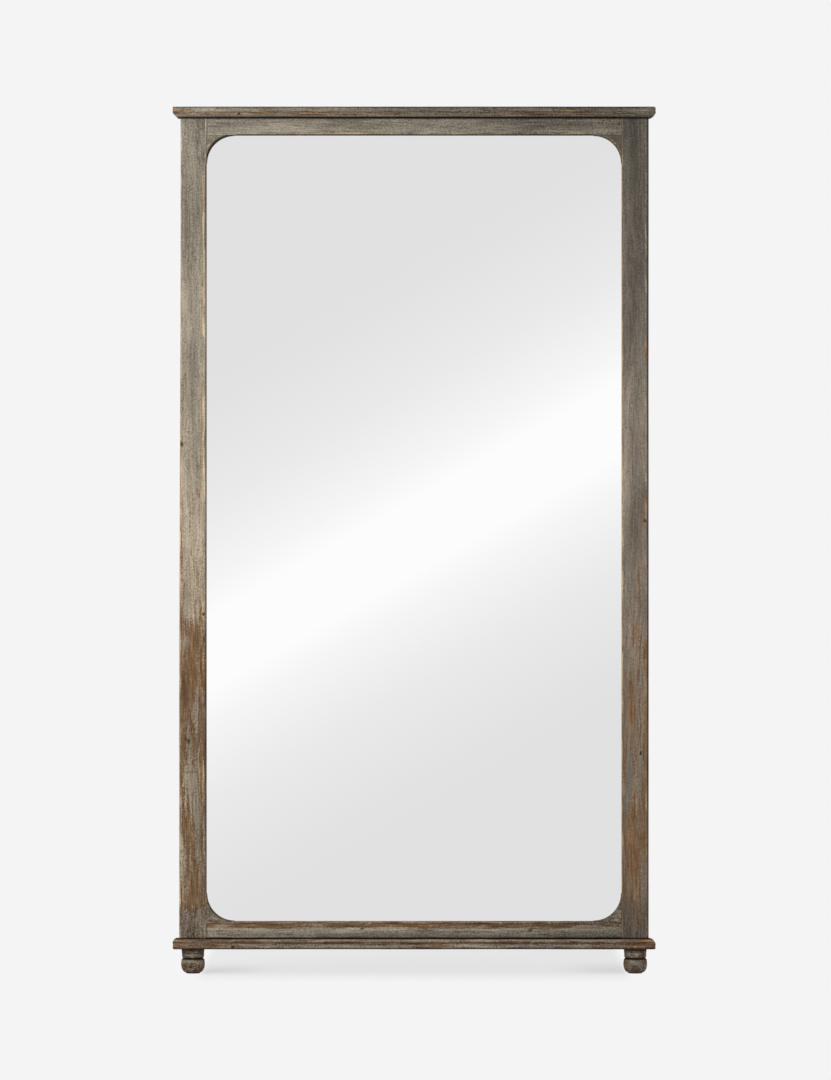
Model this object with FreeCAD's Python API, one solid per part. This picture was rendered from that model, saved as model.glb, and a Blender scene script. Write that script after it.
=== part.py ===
import FreeCAD, Part
import math
import os
from FreeCAD import Vector as V

# A tall framed floor mirror of reclaimed wood, built upright, in millimetres.
# X runs to the viewer's right, Z runs up, and the front faces -Y.
# The origin is on the floor, under the centre of the whole object.

# ---- the frame: two full-height stiles with two rails tenoned between them
FRAME_W = 1085.0        # over the stiles
STILE_L = 1895.0        # from the base to the cornice
STILE_W = 63.5          # face width of a stile
RAIL_H = 40.5           # face height of a rail
FRAME_D = 48.0          # thickness of the frame's stock, front to back
ARRIS_R = 2.5           # worn rounding of the stiles' outer front edge
SIGHT_R = 4.0           # rounding of the front edge round the glass, corner blocks included
TENON_L = 22.0          # how far a rail's tenon enters the stile
TENON_OUTER = 5.0       # from the rail's outer edge to the tenon
TENON_T = 16.0          # thickness of the tenon, front to back
TENON_FACE = 16.0       # from the frame's face to the tenon's front cheek
TENON_SIGHT = 12.0      # from the sight edge to the tenon
TENON_CLEAR = 0.15      # glue space round the tenon
TENON_END = 1.5         # space past the end of the tenon

# ---- the rounded corner blocks that fill the corners of the window
CORNER_LEG = 64.0       # along the stile and along the rail
CORNER_R = 63.0         # the hollow curve, which leaves a blunt end on each leg

# ---- the stepped rebate behind the lip, for the glass and the back panel
LIP_T = 11.0            # thickness of wood in front of the glass
GLASS_REBATE = 9.0      # how far the glass pocket reaches past the sight edge
PANEL_REBATE = 20.0     # how far the panel pocket reaches past the sight edge
GLASS_T = 5.0
GLASS_CLEAR = 2.0       # at the sides and the top of the glass
PANEL_T = 3.0
PANEL_CLEAR = 1.0       # all round the back panel
FILLET_W = 12.0         # face width of the wooden fillets behind the glass
BLOCK_L = 60.0          # rubber setting blocks under the glass
BLOCK_T = 3.0
BLOCK_X = 300.0         # from the middle of the glass to each block

# ---- the cornice and the base: planks moulded on three sides, flush at the back
OVERHANG = 15.0         # past the frame's face and past each stile
CORNICE_H = 25.0
CORNICE_FASCIA = 13.0   # height of its upright face
BASE_H = 23.5
BASE_FASCIA = 15.5
NOSE_R = 3.5            # rounding of the plank's square edge

# ---- the turned feet
FOOT_H = 54.5
NECK_TOP_R = 27.0       # radius where the neck meets the base
NECK_LOW_R = 25.6       # radius where the neck meets the groove
NECK_H = 18.5
NECK_HOLLOW = 0.3       # how far the neck's outline bends in
GROOVE_H = 3.0          # height of the groove between the neck and the ball
GROOVE_DEPTH = 1.8
BALL_R = 27.8           # widest radius of the ball
BALL_RIM_R = 25.6       # radius at the top of the ball
BALL_BELLY = 13.0       # from the top of the ball down to its widest point
FOOT_FLAT_R = 16.5      # flat under the foot
PAD_R = 16.0            # felt pad under the foot
PAD_T = 2.0
FOOT_FROM_BACK = 29.0   # from the frame's back to the feet's axis, under the centre of weight
BOLT_R = 4.0            # hanger bolt through the base
BOLT_IN_FOOT = 30.0
BOLT_IN_STILE = 24.0
BOLT_CLEAR = 0.1

# ---- dowels and screws
DOWEL_R = 5.0
DOWEL_IN_CORNICE = 17.0
DOWEL_IN_FRAME = 20.0
DOWEL_CLEAR = 0.1
DOWEL_FACE = 16.0       # from the frame's face to the dowels
DOWEL_EDGE = 16.0       # from the stile's outer edge to its dowel
DOWEL_RAIL_X = 300.0    # dowels in the rail, from the middle
BASE_SCREW_R = 2.25
BASE_SCREW_HEAD_R = 4.5
BASE_SCREW_HEAD_H = 3.0
BASE_SCREW_IN_FRAME = 20.0
BASE_SCREW_X = (150.0, 400.0)
PANEL_SCREW_R = 1.75
PANEL_SCREW_HEAD_R = 4.0
PANEL_SCREW_HEAD_H = 2.0
PANEL_SCREW_IN_FRAME = 11.0
PANEL_SCREW_ROWS = 6    # up each side
PANEL_SCREW_COLUMNS = 3     # along the top and the bottom
PANEL_SCREW_END = 70.0  # from the corner of the window to the last screw
PIN_R = 0.8             # brads that hold the fillets
PIN_L = 23.0
PIN_ROWS = 3            # up each side
PIN_COLUMNS = 2         # along the top and the bottom
PIN_END = 200.0
SCREW_CLEAR = 0.1

# ---- the pair of ring hangers on the back of the stiles
HANGER_DROP = 330.0     # from the top of the stile to the ring's axis
STRAP_W = 18.0
STRAP_L = 50.0          # below the ring's axis
STRAP_T = 1.8
WIRE_R = 2.0
RING_HALF_W = 16.0      # from the middle to the centre of the wire
RING_CORNER_R = 5.0
RING_CLEAR = 0.06       # between the ring's bar and the loop
RING_LIFT = 0.3         # between the hanging ring and the strap
STRAP_SCREW_R = 2.1
STRAP_SCREW_HEAD_R = 4.0
STRAP_SCREW_HEAD_H = 2.2
STRAP_SCREW_IN_FRAME = 18.0
STRAP_SCREW_DROP = (28.5, 41.0)     # below the ring's axis

# ---- rubber bumpers that touch the wall
BUMPER_R = 11.0
BUMPER_T = 10.0
BUMPER_DROP = 60.0      # from the top of the stile
BUMPER_EDGE_R = 2.5

# ---- places that follow from the sizes above
DEPTH = OVERHANG + FRAME_D + BUMPER_T
Y_NOSE = -DEPTH / 2
Y_FACE = Y_NOSE + OVERHANG
Y_BACK = Y_FACE + FRAME_D
Y_GLASS = Y_FACE + LIP_T
Y_FILLET = Y_GLASS + GLASS_T
Y_PANEL = Y_BACK - PANEL_T
Z_FOOT = PAD_T
Z_BASE = Z_FOOT + FOOT_H
Z_FRAME = Z_BASE + BASE_H
Z_CORNICE = Z_FRAME + STILE_L
Z_TOP = Z_CORNICE + CORNICE_H
X_OUT = FRAME_W / 2
X_SIGHT = X_OUT - STILE_W
X_FOOT = X_OUT - STILE_W / 2
X_HANGER = (X_OUT + X_SIGHT + PANEL_REBATE) / 2
X_NOSE = X_OUT + OVERHANG
Z_SIGHT_LOW = Z_FRAME + RAIL_H
Z_SIGHT_HIGH = Z_CORNICE - RAIL_H
LEFT, RIGHT = -1, 1
LOW, HIGH = -1, 1


def box(x0, x1, y0, y1, z0, z1):
    """A box between two values on each axis."""
    return Part.makeBox(x1 - x0, y1 - y0, z1 - z0, V(x0, y0, z0))


def span(a, b):
    """Two values in rising order."""
    return (a, b) if a < b else (b, a)


def closed_face(stations):
    """A flat face inside a closed outline. A point wrapped in a tuple is the middle of an arc."""
    edges, here, middle = [], stations[0], None
    for station in stations[1:] + stations[:1]:
        if isinstance(station, tuple):
            middle = station[0]
            continue
        if middle:
            edges.append(Part.Arc(here, middle, station).toShape())
        else:
            edges.append(Part.makeLine(here, station))
        here, middle = station, None
    return Part.Face(Part.Wire(edges))


def prism(stations, along):
    """A closed outline, extruded."""
    return closed_face(stations).extrude(along)


def turned(stations, place):
    """A closed outline in the XZ plane, turned about the upright line through place."""
    solid = closed_face(stations).revolve(V(0, 0, 0), V(0, 0, 1), 360)
    solid.translate(place)
    return solid


def quarter(centre, radius, first, last):
    """Stations of a quarter arc about centre, from one direction to the other."""
    middle = (first + last) * (radius * 0.5 ** 0.5)
    return [centre + first * radius, (centre + middle,), centre + last * radius]


def placed(stations, place):
    """The same stations, each moved by the function place."""
    return [(place(s[0]),) if isinstance(s, tuple) else place(s) for s in stations]


def spread(count, half):
    """Evenly spaced places from -half to half."""
    return [half * (2 * i / (count - 1) - 1) for i in range(count)]


# ---- fastener places, shared by the fasteners and by the holes that take them

def dowel_places():
    """Foot of each dowel that joins the cornice to the frame."""
    xs = (X_OUT - DOWEL_EDGE, DOWEL_RAIL_X, -DOWEL_RAIL_X, DOWEL_EDGE - X_OUT)
    return [V(x, Y_FACE + DOWEL_FACE, Z_CORNICE - DOWEL_IN_FRAME) for x in xs]


def base_screw_places():
    """Where each screw enters the underside of the base."""
    xs = BASE_SCREW_X + (X_OUT - DOWEL_EDGE,)
    return [V(side * x, Y_FACE + DOWEL_FACE, Z_BASE) for x in xs for side in (LEFT, RIGHT)]


def bolt_places():
    """Top of each foot, set back under the mirror's centre of weight."""
    return [V(side * X_FOOT, Y_BACK - FOOT_FROM_BACK, Z_BASE) for side in (LEFT, RIGHT)]


def panel_screw_places():
    """Where each screw enters the back panel, over the ledge between the two rebates."""
    out = (GLASS_REBATE + PANEL_REBATE) / 2
    middle = (Z_SIGHT_LOW + Z_SIGHT_HIGH) / 2
    half_h = (Z_SIGHT_HIGH - Z_SIGHT_LOW) / 2
    ups = spread(PANEL_SCREW_ROWS, half_h - PANEL_SCREW_END)
    acrosses = spread(PANEL_SCREW_COLUMNS, X_SIGHT - PANEL_SCREW_END)
    sides = [V(side * (X_SIGHT + out), Y_BACK, middle + up) for side in (LEFT, RIGHT) for up in ups]
    ends = [V(x, Y_BACK, middle + end * (half_h + out)) for end in (LOW, HIGH) for x in acrosses]
    return sides + ends


def pin_places():
    """Head and direction of each brad: through a fillet, into the wall of the glass rebate."""
    y = (Y_FILLET + Y_PANEL) / 2
    middle = (Z_SIGHT_LOW + Z_SIGHT_HIGH) / 2
    half_h = (Z_SIGHT_HIGH - Z_SIGHT_LOW) / 2
    inner_x = X_SIGHT + GLASS_REBATE - FILLET_W
    inner_h = half_h + GLASS_REBATE - FILLET_W
    places = []
    for side in (LEFT, RIGHT):
        for up in spread(PIN_ROWS, half_h - PIN_END):
            places.append((V(side * inner_x, y, middle + up), V(side, 0, 0)))
    for end in (LOW, HIGH):
        for x in spread(PIN_COLUMNS, X_SIGHT - PIN_END):
            places.append((V(x, y, middle + end * inner_h), V(0, 0, end)))
    return places


def strap_screw_places():
    """Where each hanger screw enters the strap's outer face."""
    z = Z_CORNICE - HANGER_DROP
    y = Y_BACK + STRAP_T
    return [V(side * X_HANGER, y, z - drop) for side in (LEFT, RIGHT) for drop in STRAP_SCREW_DROP]


# ---- holes

def rods(places, radius, length, along):
    """One cylinder from each place."""
    return [Part.makeCylinder(radius, length, place, along) for place in places]


def dowel_bores():
    """Glued bores of the dowels, a little deeper than the dowels are long."""
    length = DOWEL_IN_FRAME + DOWEL_IN_CORNICE + 2 * DOWEL_CLEAR
    feet = [place - V(0, 0, DOWEL_CLEAR) for place in dowel_places()]
    return rods(feet, DOWEL_R + DOWEL_CLEAR, length, V(0, 0, 1))


def base_screw_holes():
    """Countersunk holes through the base into the frame."""
    length = BASE_H + BASE_SCREW_IN_FRAME + SCREW_CLEAR
    places = base_screw_places()
    holes = rods(places, BASE_SCREW_R + SCREW_CLEAR, length, V(0, 0, 1))
    for place in places:
        sink_r, hole_r = BASE_SCREW_HEAD_R + SCREW_CLEAR, BASE_SCREW_R + SCREW_CLEAR
        holes.append(Part.makeCone(sink_r, hole_r, BASE_SCREW_HEAD_H + SCREW_CLEAR, place, V(0, 0, 1)))
    return holes


def bolt_holes():
    """Upright holes of the hanger bolts, in the foot, the base and the stile."""
    feet = [place - V(0, 0, BOLT_IN_FOOT + BOLT_CLEAR) for place in bolt_places()]
    length = BOLT_IN_FOOT + BASE_H + BOLT_IN_STILE + 2 * BOLT_CLEAR
    return rods(feet, BOLT_R + BOLT_CLEAR, length, V(0, 0, 1))


def panel_screw_holes():
    """Holes of the back panel's screws."""
    length = PANEL_T + PANEL_SCREW_IN_FRAME + SCREW_CLEAR
    return rods(panel_screw_places(), PANEL_SCREW_R + SCREW_CLEAR, length, V(0, -1, 0))


def pin_holes():
    """Holes of the brads in the fillets and the frame."""
    holes = []
    for place, along in pin_places():
        holes.append(Part.makeCylinder(PIN_R + SCREW_CLEAR, PIN_L + SCREW_CLEAR, place, along))
    return holes


def strap_screw_holes():
    """Holes of the hanger screws in the strap and the stile."""
    length = STRAP_T + STRAP_SCREW_IN_FRAME + SCREW_CLEAR
    return rods(strap_screw_places(), STRAP_SCREW_R + SCREW_CLEAR, length, V(0, -1, 0))


def tenon(side, end, clear, end_clear):
    """The tenon at one end of a rail, or its mortise when the clearances are given."""
    sight = Z_SIGHT_HIGH if end == HIGH else Z_SIGHT_LOW
    z0, z1 = span(sight + end * TENON_SIGHT, sight + end * (RAIL_H - TENON_OUTER))
    x0, x1 = span(side * X_SIGHT, side * (X_SIGHT + TENON_L + end_clear))
    y0 = Y_FACE + TENON_FACE
    return box(x0, x1, y0 - clear, y0 + TENON_T + clear, z0 - clear, z1 + clear)


def pocket(past, y0, y1):
    """A pocket over the whole window, reaching past the sight edge on every side."""
    x = X_SIGHT + past
    return box(-x, x, y0, y1, Z_SIGHT_LOW - past, Z_SIGHT_HIGH + past)


def spandrel(edge, away):
    """What a rounding of the front edge takes off: the sharp corner outside a quarter arc."""
    centre = edge + (away + V(0, 1, 0)) * SIGHT_R
    return [edge] + quarter(centre, SIGHT_R, V(0, -1, 0), -away)


def sight_cutters():
    """Rounds the front edge all round the window: along the stiles, the rails and the corner blocks."""
    cutters = []
    for side in (LEFT, RIGHT):
        low = V(side * X_SIGHT, Y_FACE, Z_SIGHT_LOW + CORNER_LEG)
        run = Z_SIGHT_HIGH - Z_SIGHT_LOW - 2 * CORNER_LEG
        cutters.append(prism(spandrel(low, V(side, 0, 0)), V(0, 0, run)))
    for end, sight in ((LOW, Z_SIGHT_LOW), (HIGH, Z_SIGHT_HIGH)):
        start = V(CORNER_LEG - X_SIGHT, Y_FACE, sight)
        run = 2 * (X_SIGHT - CORNER_LEG)
        cutters.append(prism(spandrel(start, V(0, 0, end)), V(run, 0, 0)))
        for side in (LEFT, RIGHT):
            middle = V(side * (X_SIGHT - CORNER_LEG), 0, sight - end * CORNER_LEG)
            edge = V(middle.x, Y_FACE, middle.z + end * CORNER_R)
            quarter_turn = 90 * side * end
            face = closed_face(spandrel(edge, V(0, 0, end)))
            cutters.append(face.revolve(middle, V(0, 1, 0), quarter_turn))
    return cutters


def frame_cutters():
    """All that is cut out of the frame's wood once it is glued up."""
    pockets = [pocket(GLASS_REBATE, Y_GLASS, Y_BACK), pocket(PANEL_REBATE, Y_PANEL, Y_BACK)]
    pockets += sight_cutters()
    holes = dowel_bores() + base_screw_holes() + bolt_holes()
    return pockets + holes + panel_screw_holes() + pin_holes() + strap_screw_holes()


# ---- the wooden frame

def stile(side):
    """A full-height stile: rounded front edges, rebates, two blind mortises and its bores."""
    outer, inner = side * X_OUT, side * X_SIGHT
    worn = V(outer - side * ARRIS_R, Y_FACE + ARRIS_R, Z_FRAME)
    stations = [V(inner, Y_BACK, Z_FRAME), V(outer, Y_BACK, Z_FRAME)]
    stations += quarter(worn, ARRIS_R, V(side, 0, 0), V(0, -1, 0)) + [V(inner, Y_FACE, Z_FRAME)]
    mortises = [tenon(side, end, TENON_CLEAR, TENON_END) for end in (LOW, HIGH)]
    return prism(stations, V(0, 0, STILE_L)).cut(mortises + frame_cutters())


def rail(end):
    """A rail between the stiles: rounded sight edge, rebates and a tenon at each end."""
    sight = Z_SIGHT_HIGH if end == HIGH else Z_SIGHT_LOW
    z0, z1 = span(sight, sight + end * RAIL_H)
    tenons = [tenon(side, end, 0, 0) for side in (LEFT, RIGHT)]
    blank = box(-X_SIGHT, X_SIGHT, Y_FACE, Y_BACK, z0, z1).fuse(tenons).removeSplitter()
    return blank.cut(frame_cutters())


def corner_block(side, end):
    """A corner block: two straight legs and a hollow curve with blunt ends, its front edge rounded."""
    sight = Z_SIGHT_HIGH if end == HIGH else Z_SIGHT_LOW
    corner = V(side * X_SIGHT, Y_FACE, sight)
    out, up = V(side, 0, 0), V(0, 0, end)
    stations = [corner, corner - out * CORNER_LEG]
    stations += quarter(corner - (out + up) * CORNER_LEG, CORNER_R, up, out)
    stations += [corner - up * CORNER_LEG]
    return prism(stations, V(0, LIP_T, 0)).cut(sight_cutters())


def moulding(fascia, height):
    """Outline of a moulded edge as (inset from the nose, distance from the square face)."""
    out, on = V(-1, 0, 0), V(0, 1, 0)
    ovolo_r = height - fascia
    nose = quarter(V(NOSE_R, NOSE_R, 0), NOSE_R, -on, out)
    ovolo = quarter(V(ovolo_r, fascia, 0), ovolo_r, out, on)
    return nose + ovolo + [V(OVERHANG, height, 0)]


def moulded_plank(z_square, up, fascia, height):
    """A plank moulded along the front and both ends, from its square face at z_square.
    It is what the front section, run across, and the end section, run to the back, share."""
    edge = moulding(fascia, height)

    def front(p):
        return V(-X_NOSE, Y_NOSE + p.x, z_square + up * p.y)

    def left(p):
        return V(-X_NOSE + p.x, Y_NOSE, z_square + up * p.y)

    def right(p):
        return V(X_NOSE - p.x, Y_NOSE, z_square + up * p.y)

    back = [V(-X_NOSE, Y_BACK, z_square + up * height), V(-X_NOSE, Y_BACK, z_square)]
    across = prism(placed(edge, front) + back, V(2 * X_NOSE, 0, 0))
    ends = placed(edge, left) + placed(edge, right)[::-1]
    return across.common(prism(ends, V(0, OVERHANG + FRAME_D, 0)))


def cornice():
    """The top plank, its quarter round facing down, with blind bores for the dowels."""
    return moulded_plank(Z_TOP, -1, CORNICE_FASCIA, CORNICE_H).cut(dowel_bores())


def base_plank():
    """The bottom plank, its quarter round facing up, screwed to the frame from below."""
    plank = moulded_plank(Z_BASE, 1, BASE_FASCIA, BASE_H)
    return plank.cut(base_screw_holes() + bolt_holes())


# ---- the feet

def belly_arc(wide_z, end_r, end_z):
    """The ball's outline between its widest point, where it is upright, and another point."""
    inset, rise = BALL_R - end_r, end_z - wide_z
    radius = (inset ** 2 + rise ** 2) / (2 * inset)
    half = math.asin(abs(rise) / radius) / 2
    bend = V(BALL_R - radius * (1 - math.cos(half)), 0, wide_z + math.copysign(radius, rise) * math.sin(half))
    return [V(BALL_R, 0, wide_z), (bend,), V(end_r, 0, end_z)]


def foot(side):
    """A turned bun foot: hollow neck, narrow groove, ball, flat underside and bolt hole."""
    ball_top = FOOT_H - NECK_H - GROOVE_H
    belly = ball_top - BALL_BELLY
    neck_foot = ball_top + GROOVE_H
    groove_r = NECK_LOW_R - GROOVE_DEPTH
    neck_middle = V((NECK_LOW_R + NECK_TOP_R) / 2 - NECK_HOLLOW, 0, neck_foot + NECK_H / 2)
    stations = [V(0, 0, 0)]
    stations += belly_arc(belly, FOOT_FLAT_R, 0)[::-1] + belly_arc(belly, BALL_RIM_R, ball_top)[1:]
    stations += [V(groove_r, 0, ball_top + GROOVE_H / 3), V(groove_r, 0, neck_foot - GROOVE_H / 3)]
    stations += [V(NECK_LOW_R, 0, neck_foot), (neck_middle,), V(NECK_TOP_R, 0, FOOT_H)]
    stations += [V(0, 0, FOOT_H)]
    place = bolt_places()[0 if side == LEFT else 1]
    return turned(stations, V(place.x, place.y, Z_FOOT)).cut(bolt_holes())


def foot_pad(side):
    """A round felt pad under the foot."""
    place = bolt_places()[0 if side == LEFT else 1]
    return Part.makeCylinder(PAD_R, PAD_T, V(place.x, place.y, Z_FOOT - PAD_T))


def foot_bolts():
    """Two hanger bolts, drawn without their threads."""
    feet = [place - V(0, 0, BOLT_IN_FOOT) for place in bolt_places()]
    return rods(feet, BOLT_R, BOLT_IN_FOOT + BASE_H + BOLT_IN_STILE, V(0, 0, 1))


# ---- the glass and what holds it

def mirror_glass():
    """The silvered glass, against the lip and standing on the setting blocks."""
    x = X_SIGHT + GLASS_REBATE - GLASS_CLEAR
    low = Z_SIGHT_LOW - GLASS_REBATE + BLOCK_T
    high = Z_SIGHT_HIGH + GLASS_REBATE - GLASS_CLEAR
    return box(-x, x, Y_GLASS, Y_FILLET, low, high)


def setting_blocks():
    """Two rubber blocks in the bottom rebate, under the glass's lower edge."""
    low = Z_SIGHT_LOW - GLASS_REBATE
    blocks = []
    for side in (LEFT, RIGHT):
        x = side * BLOCK_X - BLOCK_L / 2
        blocks.append(box(x, x + BLOCK_L, Y_GLASS, Y_FILLET, low, low + BLOCK_T))
    return blocks


def side_fillet(side):
    """An upright fillet between the glass and the back panel, pinned to the stile."""
    outer = side * (X_SIGHT + GLASS_REBATE)
    x0, x1 = span(outer, outer - side * FILLET_W)
    low, high = Z_SIGHT_LOW - GLASS_REBATE, Z_SIGHT_HIGH + GLASS_REBATE
    return box(x0, x1, Y_FILLET, Y_PANEL, low, high).cut(pin_holes())


def end_fillet(end):
    """A level fillet between the two upright ones, pinned to the rail."""
    x = X_SIGHT + GLASS_REBATE - FILLET_W
    outer = Z_SIGHT_HIGH + GLASS_REBATE if end == HIGH else Z_SIGHT_LOW - GLASS_REBATE
    z0, z1 = span(outer, outer - end * FILLET_W)
    return box(-x, x, Y_FILLET, Y_PANEL, z0, z1).cut(pin_holes())


def fillet_pins():
    """The brads, each from the fillet's inner face into the frame."""
    return [Part.makeCylinder(PIN_R, PIN_L, place, along) for place, along in pin_places()]


def back_panel():
    """The thin back panel in its shallow rebate, flush with the back of the frame."""
    past = PANEL_REBATE - PANEL_CLEAR
    return pocket(past, Y_PANEL, Y_BACK).cut(panel_screw_holes())


# ---- screws, dowels and hangers

def pan_screws(places, shank_r, shank_l, head_r, head_h):
    """Screws driven towards the front: a coned pan head on a plain shank."""
    screws = []
    for place in places:
        shank = Part.makeCylinder(shank_r, shank_l, place, V(0, -1, 0))
        head = Part.makeCone(head_r, 0.7 * head_r, head_h, place, V(0, 1, 0))
        screws.append(head.fuse(shank).removeSplitter())
    return screws


def back_screws():
    """The screws round the edge of the back panel."""
    length = PANEL_T + PANEL_SCREW_IN_FRAME
    return pan_screws(
        panel_screw_places(), PANEL_SCREW_R, length, PANEL_SCREW_HEAD_R, PANEL_SCREW_HEAD_H
    )


def hanger_screws():
    """The screws that hold the hanger straps to the stiles."""
    length = STRAP_T + STRAP_SCREW_IN_FRAME
    return pan_screws(
        strap_screw_places(), STRAP_SCREW_R, length, STRAP_SCREW_HEAD_R, STRAP_SCREW_HEAD_H
    )


def cornice_dowels():
    """Wooden dowels between the frame and the cornice."""
    return rods(dowel_places(), DOWEL_R, DOWEL_IN_FRAME + DOWEL_IN_CORNICE, V(0, 0, 1))


def base_screws():
    """Countersunk screws, flush with the underside of the base."""
    screws = []
    for place in base_screw_places():
        length = BASE_H + BASE_SCREW_IN_FRAME
        shank = Part.makeCylinder(BASE_SCREW_R, length, place, V(0, 0, 1))
        head = Part.makeCone(BASE_SCREW_HEAD_R, BASE_SCREW_R, BASE_SCREW_HEAD_H, place, V(0, 0, 1))
        screws.append(shank.fuse(head).removeSplitter())
    return screws


def ring_axis(side):
    """A point on the line about which a hanging ring swings, behind the middle of its strap."""
    lift = STRAP_T + RING_LIFT + WIRE_R
    return V(side * X_HANGER, Y_BACK + lift, Z_CORNICE - HANGER_DROP)


def hanger_strap(side):
    """A steel strap with a rounded foot, two screw holes and a rolled loop for the ring."""
    axis = ring_axis(side)
    half = STRAP_W / 2
    low = axis.z - STRAP_L + half
    stations = [
        V(axis.x - half, Y_BACK, axis.z),
        V(axis.x - half, Y_BACK, low),
        (V(axis.x, Y_BACK, axis.z - STRAP_L),),
        V(axis.x + half, Y_BACK, low),
        V(axis.x + half, Y_BACK, axis.z),
    ]
    strap = prism(stations, V(0, STRAP_T, 0))
    across = V(axis.x - half, axis.y, axis.z)
    loop = Part.makeCylinder(WIRE_R + RING_CLEAR + STRAP_T, STRAP_W, across, V(1, 0, 0))
    bore = Part.makeCylinder(WIRE_R + RING_CLEAR, STRAP_W, across, V(1, 0, 0))
    return strap.fuse(loop).cut([bore] + strap_screw_holes())


def hanger_ring(side):
    """A closed wire ring hanging from its straight bar: corners, then a half circle below."""
    axis = ring_axis(side)
    across, up = V(1, 0, 0), V(0, 0, 1)
    bar_end = across * (RING_HALF_W - RING_CORNER_R)
    drop = up * RING_CORNER_R
    stations = quarter(axis + bar_end - drop, RING_CORNER_R, up, across)
    stations += [(axis - drop - up * RING_HALF_W,)]
    stations += quarter(axis - bar_end - drop, RING_CORNER_R, -across, up)
    path = closed_face(stations).OuterWire
    circle = Part.Wire(Part.makeCircle(WIRE_R, axis, across))
    return path.makePipeShell([circle], True, True)


def bumper(side):
    """A rubber bumper with a rounded rim on the back of the stile, near the top."""
    place = V(side * X_HANGER, Y_BACK, Z_CORNICE - BUMPER_DROP)
    disc = Part.makeCylinder(BUMPER_R, BUMPER_T, place, V(0, 1, 0))
    rim = [e for e in disc.Edges if all(abs(v.Y - Y_BACK - BUMPER_T) < 1e-6 for v in e.Vertexes)]
    return disc.makeFillet(BUMPER_EDGE_R, rim)


def export(name, shape):
    """Writes one solid, or several as a group, to the parts folder."""
    solids = shape if isinstance(shape, list) else [shape]
    solids = [solid for item in solids for solid in item.Solids]
    result = solids[0] if len(solids) == 1 else Part.makeCompound(solids)
    bad = [solid for solid in solids if not solid.isValid()]
    print(name, "solids", len(solids), "invalid", len(bad), "volume", round(result.Volume))
    result.exportStep("parts/" + name + ".step")


os.makedirs("parts", exist_ok=True)
for side, hand in ((LEFT, "left"), (RIGHT, "right")):
    export("stile_" + hand, stile(side))
    export("corner_block_top_" + hand, corner_block(side, HIGH))
    export("corner_block_bottom_" + hand, corner_block(side, LOW))
    export("foot_" + hand, foot(side))
    export("foot_pad_" + hand, foot_pad(side))
    export("glass_fillet_" + hand, side_fillet(side))
    export("hanger_strap_" + hand, hanger_strap(side))
    export("hanger_ring_" + hand, hanger_ring(side))
    export("wall_bumper_" + hand, bumper(side))
export("top_rail", rail(HIGH))
export("bottom_rail", rail(LOW))
export("cornice", cornice())
export("base_plank", base_plank())
export("mirror_glass", mirror_glass())
export("setting_blocks", setting_blocks())
export("glass_fillet_top", end_fillet(HIGH))
export("glass_fillet_bottom", end_fillet(LOW))
export("fillet_pins", fillet_pins())
export("back_panel", back_panel())
export("back_screws", back_screws())
export("cornice_dowels", cornice_dowels())
export("base_screws", base_screws())
export("foot_bolts", foot_bolts())
export("hanger_screws", hanger_screws())
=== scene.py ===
from itertools import product
from math import pi, radians

import bmesh
import bpy
import numpy as np
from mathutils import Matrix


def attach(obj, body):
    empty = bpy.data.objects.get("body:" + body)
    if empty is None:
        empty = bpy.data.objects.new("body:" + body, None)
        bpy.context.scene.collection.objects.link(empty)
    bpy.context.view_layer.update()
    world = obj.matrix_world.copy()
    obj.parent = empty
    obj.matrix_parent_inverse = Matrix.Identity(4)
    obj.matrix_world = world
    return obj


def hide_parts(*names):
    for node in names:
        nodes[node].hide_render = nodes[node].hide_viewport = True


# A tall leaning floor mirror of old timber under a worn grey-beige wash, in metres. X runs to the
# viewer's right, Z up, and the front faces -Y. The floor is z = 0.
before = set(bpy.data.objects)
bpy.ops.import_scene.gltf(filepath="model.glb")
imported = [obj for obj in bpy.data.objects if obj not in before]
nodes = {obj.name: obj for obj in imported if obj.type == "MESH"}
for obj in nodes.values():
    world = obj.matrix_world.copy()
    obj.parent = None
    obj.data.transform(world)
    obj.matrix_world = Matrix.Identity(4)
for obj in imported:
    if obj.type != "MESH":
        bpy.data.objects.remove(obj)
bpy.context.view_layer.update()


# ---- The studio. A white room without corners, with one broad soft lamp in front, to the left and high
# up. What the glass shows is a pale wall with one band of light, slanting up to the right.
FACE_Y = -0.0215            # the frame's front face
CAMERA_AWAY = 14.0          # from the face to the camera
CAMERA_X, CAMERA_Z = 0.0032, 1.0005
VIEW_HEIGHT = 2.4915        # what the photograph's 1080 rows show at the face
FILM = 36.0                 # its long side, in millimetres
WHITE_WALL = (0.905, 0.905, 0.905, 1)
SOFT_LIGHT = 0.62           # what the walls give to matt surfaces
BAND_RISE = 0.57            # slope of the band of light
BAND_SHIFT = 0.00075
BAND_HALF = 0.0744          # from the middle of the band to plain wall
FAR_BAND, FAR_GLOW = 0.45, 0.10
LEAST_LEVEL = 0.05          # keeps the slope of a view straight up or down from running away
BAND = [(0.0, 1.02), (0.078, 1.02), (0.156, 0.955), (0.222, 0.917), (0.278, 0.885), (0.333, 0.857),
        (0.444, 0.826), (0.556, 0.796), (0.645, 0.786), (1.0, 0.786)]
LAMP_PLACE, LAMP_SIZE, LAMP_POWER = (-2.6, -3.4, 2.7), 2.4, 95.0
LAMP_TILT, LAMP_TURN = 66, -37      # in degrees
FLOOR_HALF = 15.0
FLOOR_WHITE = 0.70
FLOOR_LIFT = 0.05           # so that the floor in the open is as pale as the wall
BOARD_SHADE, FOOT_SHADE = 0.25, 0.18
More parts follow.
